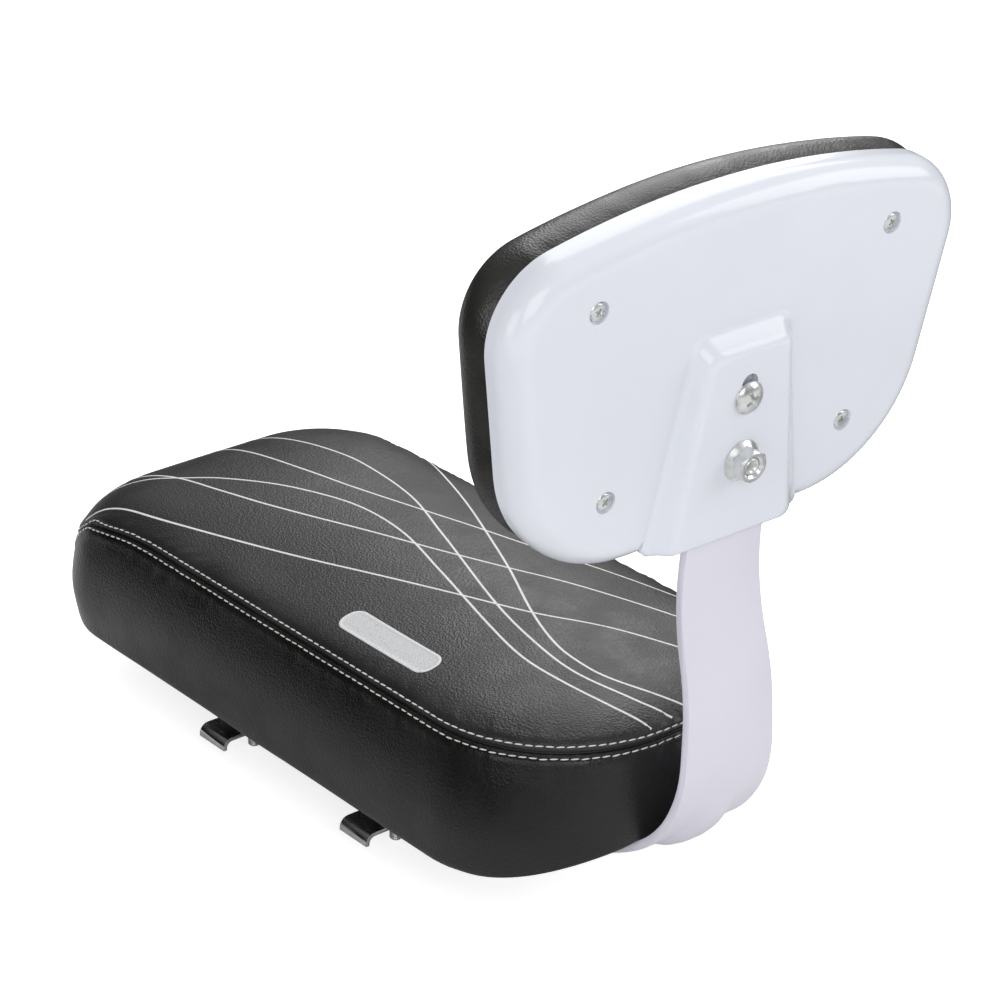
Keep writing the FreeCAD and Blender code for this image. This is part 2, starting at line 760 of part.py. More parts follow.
def strap():
    """Flat bar bent under the seat and up its rear, narrower at the top, with a pressed bead."""
    body = new_body("StrapBody")
    spine = new_sketch(body, "StrapSpine", "YZ_Plane")
    corners = [flat(y.number, z.number) for y, z in PATH]
    heel, lean_in, lean = (S[name].number for name in ("heel_angle", "lean_in_angle", "lean"))
    spine.addGeometry(Part.LineSegment(corners[0], corners[1]), False)
    lower = (bend(spine, PATH[1], PATH[2], S["heel_radius"], 180, -heel),
             bend(spine, PATH[2], PATH[3], S["knee_radius"], 180 - heel, heel - 90))
    spine.addGeometry(Part.LineSegment(corners[3], corners[4]), False)
    upper = (bend(spine, PATH[4], PATH[5], S["lean_in_radius"], 90, -lean_in),
             bend(spine, PATH[5], PATH[6], S["lean_back_radius"], 90 - lean_in, lean_in + lean))
    spine.addGeometry(Part.LineSegment(corners[6], corners[7]), False)
    for index in (0, 3, 6):
        pin(spine, index, 1, *PATH[index])
        pin(spine, index, 2, *PATH[index + 1])
    for before, pair, after in ((0, lower, 3), (3, upper, 6)):
        (first, enter, middle), (last, again, leave) = pair
        pin(spine, first, middle, *PATH[before + 2])
        spine.addConstraint(Sketcher.Constraint("Coincident", before, 2, first, enter))
        spine.addConstraint(Sketcher.Constraint("Coincident", first, middle, last, again))
        spine.addConstraint(Sketcher.Constraint("Coincident", last, leave, after, 1))
    profile = new_sketch(body, "StrapProfile", "XZ_Plane", -S["strap_front"])
    half = S["strap_width"] / 2
    polygon(profile, [
        (-half, -S["strap_thickness"]),
        (half, -S["strap_thickness"]),
        (half, as_size(0)),
        (-half, as_size(0)),
    ])
    pipe = body.newObject("PartDesign::AdditivePipe", "StrapBar")
    pipe.Profile = profile
    pipe.Spine = (spine, [f"Edge{index}" for index in range(1, 8)])
    top_half = S["strap_top_width"] / 2
    beyond = S["strap_width"]
    above = PATH[-1][1] + S["strap_width"]
    trim = new_sketch(body, "StrapTaper", "XZ_Plane")
    for side in (1, -1):
        polygon(trim, [
            (side * half, S["taper_foot"]),
            (side * beyond, S["taper_foot"]),
            (side * beyond, above),
            (side * top_half, above),
            (side * top_half, S["taper_head"]),
        ])
    through(body, "StrapTrim", trim)

    crest = S["knee_radius"] + S["strap_thickness"] / 2 + S["bead_height"] - S["bead_shift"]
    bead_y = PATH[3][0] + S["knee_radius"] - S["bead_shift"] * sine(S["bead_angle"])
    bead_z = PATH[3][1] - S["bead_shift"] * cosine(S["bead_angle"])
    inside = [(bead_y + 2 * crest, PATH[1][1]), PATH[1]]
    for bend_radius, low, high in ((S["heel_radius"], as_size(0), S["heel_angle"]),
                                   (S["knee_radius"], S["heel_angle"], as_size(90))):
        middle_y = inside[-1][0] + bend_radius * sine(low)
        middle_z = inside[-1][1] + bend_radius * cosine(low)
        for step in range(1, 5):
            angle = low + (high - low) * step / 4
            inside.append((middle_y - bend_radius * sine(angle), middle_z - bend_radius * cosine(angle)))
    inside += [(inside[-1][0], bead_z + 2 * crest), (inside[0][0], bead_z + 2 * crest)]
    core = new_body("BeadCore")
    core_outline = new_sketch(core, "BeadCoreOutline", "YZ_Plane")
    polygon(core_outline, inside)
    pad(core, "BeadCorePad", core_outline, S["strap_width"], True)
    bead = cut("Bead", bead_wheel("BeadWheel", crest, bead_y, bead_z), [core])
    tools = [bead_wheel("BeadHollow", crest - S["strap_thickness"], bead_y, bead_z)]
    for index, (x, y) in enumerate(STRAP_BOLTS):
        tools.append(cylinder(f"StrapHole{index}", HOLE, 3 * S["strap_thickness"],
                              x, y, -2 * S["strap_thickness"]))
    for index, level in enumerate(("upper_bolt_y", "lower_bolt_y")):
        tools.append(back_bore(f"StrapBackHole{index}", BACK_HOLE, 3 * S["strap_thickness"],
                               -S[level], -S["strap_thickness"]))
    node(cut("Strap", fuse("StrapWithBead", [body, bead]), tools), "support_strap")


def back_bore(name, diameter, height, up, out):
    """A round bar along the backrest's depth, already leaned back."""
    bar = cylinder(name, diameter, height)
    turn = FreeCAD.Rotation(FreeCAD.Vector(1, 0, 0), 90 + S["lean"].number)
    bar.Placement = FreeCAD.Placement(FreeCAD.Vector(), turn)
    bind(bar, "Placement.Rotation.Angle", 90 + S["lean"])
    return place(bar, 0, BACK_Y - up * sine(S["lean"]) - out * cosine(S["lean"]),
                 BACK_Z + up * cosine(S["lean"]) - out * sine(S["lean"]))


# Fasteners under the seat

def carriage_bolt(name, x, y, end):
    """Round-headed bolt sunk in the board, hanging down to its end."""
    shank, head = S["bolt_diameter"] / 2, S["carriage_head_diameter"] / 2
    rim = HEAD_FLOOR + S["carriage_head_height"] / 2
    return turned(name, [
        (0, end), (shank, end), (shank, HEAD_FLOOR), (head, HEAD_FLOOR),
        (head, rim), (head / 2, BOARD_TOP), (0, BOARD_TOP),
    ], x, y)


def washer(name, x, y, top):
    """Flat ring under a plate."""
    bore, rim = HOLE / 2, S["washer_diameter"] / 2
    bottom = top - S["washer_thickness"]
    return turned(name, [(bore, bottom), (rim, bottom), (rim, top), (bore, top)], x, y)


def nut(name, x, y, top):
    """Hexagon nut under a washer."""
    bottom = top - S["nut_height"]
    thread = S["bolt_diameter"] + S["thread_clearance"]
    bore = cylinder(name + "Bore", thread, S["nut_height"], x, y, bottom)
    blank = hexagon(name + "Hex", S["nut_across_flats"], S["nut_height"], x, y, bottom)
    return cut(name, blank, [bore])


def bolt_sets():
    """Bolts, washers and nuts of the strap and of the clamps."""
    stacks = (
        ("strap", STRAP_BOLTS, -S["strap_thickness"], S["strap_bolt_end"]),
        ("clamp", CLAMP_BOLTS, -S["clamp_drop"] - S["clamp_thickness"], S["clamp_bolt_end"]),
    )
    for title, places, face, spare in stacks:
        under = face - S["washer_thickness"]
        end = under - S["nut_height"] - spare
        name = title.capitalize()
        bolts = [carriage_bolt(f"{name}Bolt{index}", x, y, end) for index, (x, y) in enumerate(places)]
        rings = [washer(f"{name}Washer{index}", x, y, face) for index, (x, y) in enumerate(places)]
        nuts = [nut(f"{name}Nut{index}", x, y, under) for index, (x, y) in enumerate(places)]
        node(group(name + "Bolts", bolts), title + "_bolts")
        node(group(name + "Washers", rings), title + "_washers")
        node(group(name + "Nuts", nuts), title + "_nuts")


def clamp_plate(name, y):
    """Bent plate that draws up under the rack, with turned-down ends and holes for its bolts."""
    body = new_body(name)
    sketch = new_sketch(body, name + "Profile", "XZ_Plane")
    end, inner = S["clamp_half_length"], S["clamp_half_length"] - S["clamp_thickness"]
    top = -S["clamp_drop"]
    bottom = top - S["clamp_thickness"]
    tip = top - S["clamp_lip"]
    polygon(sketch, [
        (-end, tip), (-inner, tip), (-inner, bottom), (inner, bottom),
        (inner, tip), (end, tip), (end, top), (-end, top),
    ])
    block = pad(body, name + "Plate", sketch, S["clamp_width"], both=True)
    doc.recompute()

    def bend_edges(feature, x, z):
        names = []
        for index, edge in enumerate(feature.Shape.Edges, start=1):
            middle = edge.CenterOfMass
            if abs(abs(middle.x) - x.number) < 1e-4 and abs(middle.z - z.number) < 1e-4:
                names.append(f"Edge{index}")
        return names

    corners = bend_edges(block, inner, bottom)
    inside = round_edges(body, name + "InnerBend", block, corners, S["clamp_bend_radius"])
    doc.recompute()
    outside = S["clamp_bend_radius"] + S["clamp_thickness"]
    round_edges(body, name + "OuterBend", inside, bend_edges(inside, end, top), outside)
    holes = new_sketch(body, name + "Holes", "XY_Plane")
    for side in (-1, 1):
        circle(holes, side * S["clamp_bolt_half_span"], 0, HOLE)
    through(body, name + "Cut", holes)
    return place(body, 0, y, 0)


# Backrest, built flat in its own frame and then leaned back

def back_loop(sketch, inset):
    """The backrest's outline, drawn in by an inset."""
    upper = S["upper_corner_radius"] - inset
    lower = S["lower_corner_radius"] - inset
    rounded_loop(sketch, [
        (S["upper_corner_x"], -S["upper_corner_y"], upper),
        (-S["upper_corner_x"], -S["upper_corner_y"], upper),
        (-S["lower_corner_x"], -S["lower_corner_y"], lower),
        (S["lower_corner_x"], -S["lower_corner_y"], lower),
    ], crown=S["top_crown_radius"] - inset)


def screw_places():
    """Places of the shell's screws."""
    rows = ((S["screw_upper_x"], -S["screw_upper_y"]), (S["screw_lower_x"], -S["screw_lower_y"]))
    return [(side * x, y) for x, y in rows for side in (-1, 1)]


def boss_levels():
    """Heights of the boss's levels, how far each spreads out, and how much of the draft it has.

    The first levels round the root into the shell, and the last ones round the edge of the face.
    """
    root, edge, height = S["boss_root"], S["boss_edge"], S["boss_height"]
    yield -S["shell_edge_radius"], 0.8 * root, as_size(1)
    for rise, spread in ((0.0, 0.8), (0.16, 0.4), (0.5, 0.08)):
        yield rise * root, spread * root, 1 - rise * root / height
    for drop, draw in ((0.62, 0.08), (0.26, 0.3), (0.06, 0.66), (0.0, 1.0)):
        yield height - drop * edge, -(draw * edge), drop * edge / height


def boss_loop(sketch, spread, share):
    """The wedge boss's outline, spread out by a length and by a share of its draft."""
    radius, bottom_radius = S["boss_corner_radius"], S["boss_bottom_radius"]
    top = S["boss_top_half"] + share * S["boss_top_draft"] + spread
    foot = S["boss_bottom_half"] + share * S["boss_bottom_draft"] + spread
    head = -S["boss_top"] + share * S["boss_head_draft"] + spread
    low = -S["boss_bottom"] - (spread if spread.number < 0 else as_size(0))
    rounded_loop(sketch, [
        (top - radius, head - radius, radius),
        (-(top - radius), head - radius, radius),
        (-(foot - bottom_radius), low + bottom_radius, bottom_radius),
        (foot - bottom_radius, low + bottom_radius, bottom_radius),
    ])


def backrest_shell():
    """Moulded shell with a rounded back edge, a wedge boss that sockets the strap, and screw recesses."""
    body = new_body("ShellBody")
    outline = new_sketch(body, "ShellOutline", "XY_Plane", -S["shell_depth"])
    back_loop(outline, as_size(0))
    block = pad(body, "ShellBlock", outline, S["shell_depth"])
    doc.recompute()
    round_edges(body, "ShellEdge", block, edges_at(block.Shape, 0), S["shell_edge_radius"])
    sections = []
    for index, (height, spread, share) in enumerate(boss_levels()):
        sections.append(new_sketch(body, f"BossLevel{index}", "XY_Plane", height))
        boss_loop(sections[-1], spread, share)
    boss = body.newObject("PartDesign::AdditiveLoft", "Boss")
    boss.Profile = sections[0]
    boss.Sections = sections[1:]
    boss.Ruled = True
    core = new_body("ShellCore")
    hollow = new_sketch(core, "ShellHollow", "XY_Plane", -2 * S["shell_depth"])
    back_loop(hollow, S["shell_wall"])
    filling = pad(core, "ShellFilling", hollow, 2 * S["shell_depth"] - S["shell_wall"])
    doc.recompute()
    floor = edges_at(filling.Shape, -SIZES["shell_wall"])
    round_edges(core, "ShellInnerEdge", filling, floor, S["shell_edge_radius"] - S["shell_wall"])

    channel_width = S["strap_top_width"] + 2 * S["strap_slip"]
    channel_top = -S["strap_end_drop"] + S["strap_end_gap"]
    channel_foot = -S["boss_bottom"] - S["shell_edge_radius"]
    tools = [core, box("StrapChannel", channel_width, channel_top - channel_foot,
                       S["strap_thickness"] + S["strap_slip"], -channel_width / 2, channel_foot, 0)]
    through_boss = S["shell_wall"] + 2 * S["boss_height"]
    slot_reach = (S["adjust_slot_length"] - BACK_HOLE) / 2
    slot_middle = S["adjust_slot_rise"] - S["upper_bolt_y"]
    for index, up in enumerate((slot_reach, -slot_reach)):
        tools.append(cylinder(f"BossSlotEnd{index}", BACK_HOLE, through_boss,
                              0, slot_middle + up, -S["shell_wall"]))
    tools.append(box("BossSlot", BACK_HOLE, 2 * slot_reach, through_boss,
                     -BACK_HOLE / 2, slot_middle - slot_reach, -S["shell_wall"]))
    tools.append(cylinder("BossHole", BACK_HOLE, through_boss, 0, -S["lower_bolt_y"], -S["shell_wall"]))
    for index, (x, y) in enumerate(screw_places()):
        tools.append(cylinder(f"ScrewRecess{index}", S["screw_recess_diameter"], S["shell_wall"],
                              x, y, -S["screw_recess_depth"]))
        tools.append(cylinder(f"ScrewHole{index}", S["screw_diameter"] + S["hole_clearance"],
                              S["shell_wall"], x, y, -S["shell_wall"]))
    node(on_backrest(cut("Shell", body, tools)), "backrest_shell")


def pad_levels(inset):
    """Depths and insets of the pad's levels, from the hem inside the shell to the front face."""
    yield S["shell_wall"] + inset, S["pad_hem_inset"] + inset
    for name in ("nest", "rim", "swell", "edge"):
        yield S[f"pad_{name}_depth"], S[f"pad_{name}_inset"] + inset
    for name in ("crown", "face"):
        yield S[f"pad_{name}_depth"] - inset, S[f"pad_{name}_inset"] + inset


def pad_loft(name, inset):
    """Loft the pad through its levels, drawn in all round by an inset."""
    body = new_body(name)
    sketches = []
    for index, (depth, draw_in) in enumerate(pad_levels(inset)):
        sketch = new_sketch(body, f"{name}Level{index}", "XY_Plane", -depth)
        back_loop(sketch, draw_in)
        sketches.append(sketch)
    loft = body.newObject("PartDesign::AdditiveLoft", name + "Loft")
    loft.Profile = sketches[0]
    loft.Sections = sketches[1:]
    loft.Ruled = True
    return body


PAD_BOARD_BACK = S["shell_wall"] + S["cover_thickness"]
PAD_BOARD_FRONT = PAD_BOARD_BACK + S["pad_board_thickness"]


def backrest_pad():
    """Board, foam and cover of the pad."""
    inner = pad_loft("PadInner", S["cover_thickness"])
    outer = pad_loft("PadOuter", as_size(0))
    side = 2 * (S["upper_corner_x"] + S["upper_corner_radius"])
    layer = box("BoardLayer", side, side, PAD_BOARD_FRONT, -side / 2, -side / 2, -PAD_BOARD_FRONT)
    slab = common("PadSlab", inner, layer)
    tools = []
    for index, (x, y) in enumerate(screw_places()):
        bore = S["screw_diameter"] + S["thread_clearance"]
        depth = S["screw_recess_depth"] + S["screw_length"]
        tools.append(cylinder(f"PilotHole{index}", bore, depth, x, y, -depth))
    tools += [
        cylinder("TeeBore", S["tee_barrel_diameter"] + S["hole_clearance"], PAD_BOARD_FRONT,
                 0, -S["upper_bolt_y"], -PAD_BOARD_FRONT),
        cylinder("TeeSeat", S["tee_flange_diameter"] + S["hole_clearance"], S["tee_flange_thickness"],
                 0, -S["upper_bolt_y"], -PAD_BOARD_FRONT),
        cylinder("LowerBore", BACK_HOLE, PAD_BOARD_FRONT, 0, -S["lower_bolt_y"], -PAD_BOARD_FRONT),
        cylinder("LowerSeat", S["back_head_diameter"] + S["hole_clearance"], S["back_head_height"],
                 0, -S["lower_bolt_y"], -PAD_BOARD_FRONT),
    ]
    node(on_backrest(cut("PadBoard", slab, tools)), "backrest_board")
    node(on_backrest(cut("PadFoam", inner, [layer])), "backrest_foam")
    opening = new_body("PadOpening")
    outline = new_sketch(opening, "PadOpeningOutline", "XY_Plane")
    back_loop(outline, S["pad_hem_inset"] + S["pad_hem_width"])
    pad(opening, "PadOpeningPad", outline, 2 * PAD_BOARD_BACK, both=True)
    node(on_backrest(cut("PadCover", outer, [inner, opening])), "backrest_cover")


def backrest_fasteners():
    """Shell screws, the upper screw with its tee nut, and the lower bolt with its flange nut."""
    shank, head = S["screw_diameter"] / 2, S["screw_head_diameter"] / 2
    seat_face = -S["screw_recess_depth"]
    screws = []
    for index, (x, y) in enumerate(screw_places()):
        screws.append(turned(f"ShellScrew{index}", [
            (0, seat_face - S["screw_length"]),
            (shank, seat_face - S["screw_length"] + S["screw_diameter"]),
            (shank, seat_face), (head, seat_face), (head, seat_face + S["screw_head_height"] / 2),
            (head / 2, seat_face + S["screw_head_height"]), (0, seat_face + S["screw_head_height"]),
        ], x, y))
    node(on_backrest(group("ShellScrews", screws)), "shell_screws")

    shank = S["back_bolt_diameter"] / 2
    face = S["boss_height"]
    rim, dome = S["truss_diameter"] / 2, S["truss_height"]
    screw = turned("UpperScrewBody", [
        (0, -PAD_BOARD_FRONT), (shank, -PAD_BOARD_FRONT), (shank, face), (rim, face), (rim, face + 0.2 * dome),
        (0.8 * rim, face + 0.62 * dome), (0.48 * rim, face + 0.9 * dome), (0, face + dome),
    ], 0, -S["upper_bolt_y"])
    node(on_backrest(group("UpperScrew", [screw])), "upper_screw")

    bore = (S["back_bolt_diameter"] + S["thread_clearance"]) / 2
    barrel, flange = S["tee_barrel_diameter"] / 2, S["tee_flange_diameter"] / 2
    inside = -PAD_BOARD_FRONT + S["tee_flange_thickness"]
    tee = turned("TeeNutBody", [
        (bore, -PAD_BOARD_FRONT), (flange, -PAD_BOARD_FRONT), (flange, inside), (barrel, inside),
        (barrel, -PAD_BOARD_BACK), (bore, -PAD_BOARD_BACK),
    ], 0, -S["upper_bolt_y"])
    node(on_backrest(group("UpperTeeNut", [tee])), "upper_tee_nut")

    head = S["back_head_diameter"] / 2
    under = -PAD_BOARD_FRONT + S["back_head_height"]
    end = face + S["flange_nut_height"] - S["back_bolt_recess"]
    bolt = turned("LowerBoltBody", [
        (0, -PAD_BOARD_FRONT), (head / 2, -PAD_BOARD_FRONT),
        (head, -PAD_BOARD_FRONT + S["back_head_height"] / 2), (head, under), (shank, under),
        (shank, end), (0, end),
    ], 0, -S["lower_bolt_y"])
    node(on_backrest(group("LowerBolt", [bolt])), "lower_bolt")

    rim = S["flange_nut_diameter"] / 2
    inner = S["flange_nut_across_flats"] / 2
    skirt = turned("FlangeSkirt", [
        (0, face), (rim, face), (rim, face + S["flange_nut_rim"]),
        (inner, face + S["flange_nut_skirt"]), (0, face + S["flange_nut_skirt"]),
    ], 0, -S["lower_bolt_y"])
    faces = hexagon("FlangeHex", S["flange_nut_across_flats"], S["flange_nut_height"],
                    0, -S["lower_bolt_y"], face)
    thread = cylinder("FlangeBore", 2 * bore, S["flange_nut_height"], 0, -S["lower_bolt_y"], face)
    solid = cut("FlangeNut", fuse("FlangeNutBlank", [skirt, faces]), [thread])
    node(on_backrest(solid), "lower_flange_nut")


seat()
strap()
bolt_sets()
node(clamp_plate("FrontClamp", S["clamp_y"]), "front_clamp_plate")
node(clamp_plate("RearClamp", -S["clamp_y"]), "rear_clamp_plate")
backrest_shell()
backrest_pad()
backrest_fasteners()
doc.recompute()

for item in doc.Objects:
    if "Invalid" in item.State or "Error" in item.State:
        raise RuntimeError(f"{item.Name} failed: {item.State}")
for piece in NODES:
    if piece.Shape.isNull() or not piece.Shape.isValid() or not piece.Shape.Solids:
        raise RuntimeError(f"{piece.Label} has no valid solid")
os.makedirs("parts", exist_ok=True)
for piece in NODES:
    piece.Shape.exportStep(f"parts/{piece.Label}.step")
    print(piece.Label, len(piece.Shape.Solids), "solids", round(piece.Shape.Volume), "mm3")
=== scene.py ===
"""Looks of a rear rack seat: leatherette cushion and pad, moulded shell, bent strap and zinc fasteners."""
import logging
import math
from collections.abc import Callable, Sequence
from dataclasses import astuple, dataclass
from enum import Enum

import bmesh
import bpy
from mathutils import Matrix, Vector, noise
from mathutils.bvhtree import BVHTree


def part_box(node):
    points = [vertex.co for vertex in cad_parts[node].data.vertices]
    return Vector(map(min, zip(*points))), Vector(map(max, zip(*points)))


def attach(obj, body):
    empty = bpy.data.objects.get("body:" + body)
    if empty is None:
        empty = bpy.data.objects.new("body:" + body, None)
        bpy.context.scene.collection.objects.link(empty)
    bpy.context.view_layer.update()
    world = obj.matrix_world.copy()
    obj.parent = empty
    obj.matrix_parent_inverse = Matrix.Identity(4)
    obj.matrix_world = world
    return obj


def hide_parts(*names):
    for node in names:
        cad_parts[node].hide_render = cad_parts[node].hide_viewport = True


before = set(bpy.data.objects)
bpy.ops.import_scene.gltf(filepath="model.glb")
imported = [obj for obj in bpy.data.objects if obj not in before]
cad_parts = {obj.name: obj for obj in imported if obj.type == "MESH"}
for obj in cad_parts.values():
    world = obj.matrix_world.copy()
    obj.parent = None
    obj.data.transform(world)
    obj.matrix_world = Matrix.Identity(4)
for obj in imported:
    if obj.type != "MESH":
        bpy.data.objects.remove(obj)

LOG = logging.getLogger("rack_seat")
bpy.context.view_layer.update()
BODY = "root"
MM = 0.001
MILLIMETRES = Matrix.Scale(MM, 4)
BMesh = bmesh.types.BMesh
Socket = bpy.types.NodeSocket
Sockets = dict[str, Socket]
Colour = tuple[float, float, float]
Pairs = tuple[tuple[float, float], ...]


# Shader tools

class Shader:
    """Adds and links nodes in one shader tree."""

    def __init__(self, tree: bpy.types.NodeTree) -> None:
        """Keep the tree that nodes go into."""
        self.tree = tree

    def add(self, kind: str, inputs: dict[str, object] | None = None, **settings: object) -> bpy.types.Node:
        """Add a node.

        Args:
            kind: Blender's name of the node type, without its ShaderNode prefix.
            inputs: Values or sockets for the node's named inputs.
            settings: The node's own properties.

        Returns:
            The new node.
        """
        node = self.tree.nodes.new("ShaderNode" + kind)
        for name, value in settings.items():
            setattr(node, name, value)
        for name, value in (inputs or {}).items():
            self.feed(node.inputs[name], value)
        return node

    def feed(self, socket: Socket, value: object) -> None:
        """Link a socket into an input, or set a plain value on it."""
        if isinstance(value, Socket):
            self.tree.links.new(value, socket)
        else:
            socket.default_value = value

    def math(self, operation: str, first: object, second: object = 0.0) -> Socket:
        """Work out one number from two.

        Args:
            operation: Blender's name of the sum.
            first: First number or socket.
            second: Second number or socket.

        Returns:
            The result's socket.
        """
        node = self.add("Math", operation=operation)
        self.feed(node.inputs[0], first)
        self.feed(node.inputs[1], second)
        return node.outputs[0]

    def remap(self, value: Socket, low: float, high: float, to_low: float = 0.0,
              to_high: float = 1.0) -> Socket:
        """Move a value smoothly from one range to another.

        Args:
            value: The value.
            low: Value that becomes to_low.
            high: Value that becomes to_high.
            to_low: Start of the new range.
            to_high: End of the new range.

        Returns:
            The moved value's socket.
        """
        node = self.add("MapRange", {
            "Value": value, "From Min": low, "From Max": high, "To Min": to_low, "To Max": to_high,
        }, interpolation_type="SMOOTHSTEP")
        return node.outputs["Result"]

    def blend(self, mask: Socket, first: Colour, second: Colour) -> Socket:
        """Blend two colours by a mask.

        Args:
            mask: 0 for the first colour, 1 for the second.
            first: First colour.
            second: Second colour.

        Returns:
            The blended colour's socket.
        """
        node = self.add("Mix", data_type="RGBA")
        self.feed(node.inputs[0], mask)
        self.feed(node.inputs[6], (*first, 1.0))
        self.feed(node.inputs[7], (*second, 1.0))
        return node.outputs[2]

    def noise(self, vector: object, scale: object, detail: float) -> Socket:
        """Soft noise between 0 and 1.

        Args:
            vector: Place that it is read at.
            scale: Patches per metre.
            detail: Octaves.

        Returns:
            The noise's socket.
        """
        node = self.add("TexNoise", {"Vector": vector, "Scale": scale, "Detail": detail})
        return node.outputs[0]


class Effect(Enum):
    """Surface effects that more than one finish uses."""

    GRAIN = "leather_grain"
    SKIN = "moulded_skin"
    PLATING = "plated_skin"
    HANDLING = "handling_marks"


def fill_grain(shader: Shader, vector: Socket, scale: Socket) -> Sockets:
    """Pebbled leather grain with fine pores and broad tone.

    Args:
        shader: Tree of the group.
        vector: Place on the surface.
        scale: Pebbles per metre.

    Returns:
        Sockets by output name.
    """
    coarse = shader.math("MULTIPLY", scale, 0.3)
    warp = shader.add("TexNoise", {"Vector": vector, "Scale": coarse, "Detail": 2.0})
    push = shader.add("VectorMath", operation="SCALE")
    shader.feed(push.inputs[0], warp.outputs["Color"])
    shader.feed(push.inputs["Scale"], shader.math("DIVIDE", 0.9, scale))
    moved = shader.add("VectorMath", operation="ADD")
    shader.feed(moved.inputs[0], vector)
    shader.feed(moved.inputs[1], push.outputs[0])
    pebbles = shader.add("TexVoronoi", {"Vector": moved.outputs[0], "Scale": scale, "Smoothness": 0.6},
                         feature="SMOOTH_F1")
    crease = shader.remap(pebbles.outputs["Distance"], 0.15, 0.75, 1.0, 0.0)
    pores = shader.noise(vector, shader.math("MULTIPLY", scale, 2.6), 3.0)
    folds = shader.noise(vector, shader.math("MULTIPLY", scale, 0.22), 4.0)
    height = shader.math("ADD", shader.math("MULTIPLY", crease, 0.62), shader.math("MULTIPLY", pores, 0.2))
    height = shader.math("ADD", height, shader.math("MULTIPLY", folds, 0.5))
    tone = shader.remap(shader.noise(vector, 46.0, 3.0), 0.32, 0.7)
    return {"Height": height, "Tone": tone}


def fill_skin(shader: Shader, vector: Socket, scale: Socket) -> Sockets:
    """Orange peel of a moulded or sprayed skin.

    Args:
        shader: Tree of the group.
        vector: Place on the surface.
        scale: Bumps per metre.

    Returns:
        Sockets by output name.
    """
    peel = shader.noise(vector, scale, 2.0)
    broad = shader.noise(vector, shader.math("MULTIPLY", scale, 0.07), 2.0)
    height = shader.math("ADD", peel, shader.math("MULTIPLY", broad, 1.5))
    tone = shader.remap(shader.noise(vector, 21.0, 3.0), 0.35, 0.68)
    return {"Height": height, "Tone": tone}


def fill_plating(shader: Shader, vector: Socket, scale: Socket) -> Sockets:
    """Rolled and plated metal: fine pits, cloudy brightness.

    Args:
        shader: Tree of the group.
        vector: Place on the surface.
        scale: Pits per metre.

    Returns:
        Sockets by output name.
    """
    pits = shader.noise(vector, scale, 4.0)
    clouds = shader.noise(vector, shader.math("MULTIPLY", scale, 0.12), 3.0)
    tone = shader.remap(clouds, 0.3, 0.72)
    return {"Height": pits, "Tone": tone}


def fill_handling(shader: Shader, vector: Socket, scale: Socket) -> Sockets:
    """Faint smears that hands and wiping leave.

    Args:
        shader: Tree of the group.
        vector: Place on the surface.
        scale: Smears per metre.

    Returns:
        Sockets by output name.
    """
    smears = shader.noise(vector, scale, 5.0)
    specks = shader.noise(vector, shader.math("MULTIPLY", scale, 22.0), 1.0)
    return {"Smear": shader.remap(smears, 0.42, 0.66), "Speck": shader.remap(specks, 0.62, 0.74)}


EFFECT_FILLS: dict[Effect, tuple[Callable[..., Sockets], tuple[str, str]]] = {
    Effect.GRAIN: (fill_grain, ("Height", "Tone")),
    Effect.SKIN: (fill_skin, ("Height", "Tone")),
    Effect.PLATING: (fill_plating, ("Height", "Tone")),
    Effect.HANDLING: (fill_handling, ("Smear", "Speck")),
}


def effect_group(effect: Effect) -> bpy.types.NodeTree:
    """The node group of an effect, built the first time it is asked for.

    Args:
        effect: The effect.

    Returns:
        Its node group.
    """
    if effect.value in bpy.data.node_groups:
        return bpy.data.node_groups[effect.value]
    tree = bpy.data.node_groups.new(effect.value, "ShaderNodeTree")
    fill, outputs = EFFECT_FILLS[effect]
    tree.interface.new_socket("Vector", in_out="INPUT", socket_type="NodeSocketVector")
    tree.interface.new_socket("Scale", in_out="INPUT", socket_type="NodeSocketFloat")
    for name in outputs:
        tree.interface.new_socket(name, in_out="OUTPUT", socket_type="NodeSocketFloat")
    entry = tree.nodes.new("NodeGroupInput")
    leave = tree.nodes.new("NodeGroupOutput")
    made = fill(Shader(tree), entry.outputs["Vector"], entry.outputs["Scale"])
    for name in outputs:
        tree.links.new(made[name], leave.inputs[name])
    return tree


def tinted(colour: Colour, factor: float) -> Colour:
    """A colour made lighter or darker."""
    return tuple(min(1.0, part * factor) for part in colour)


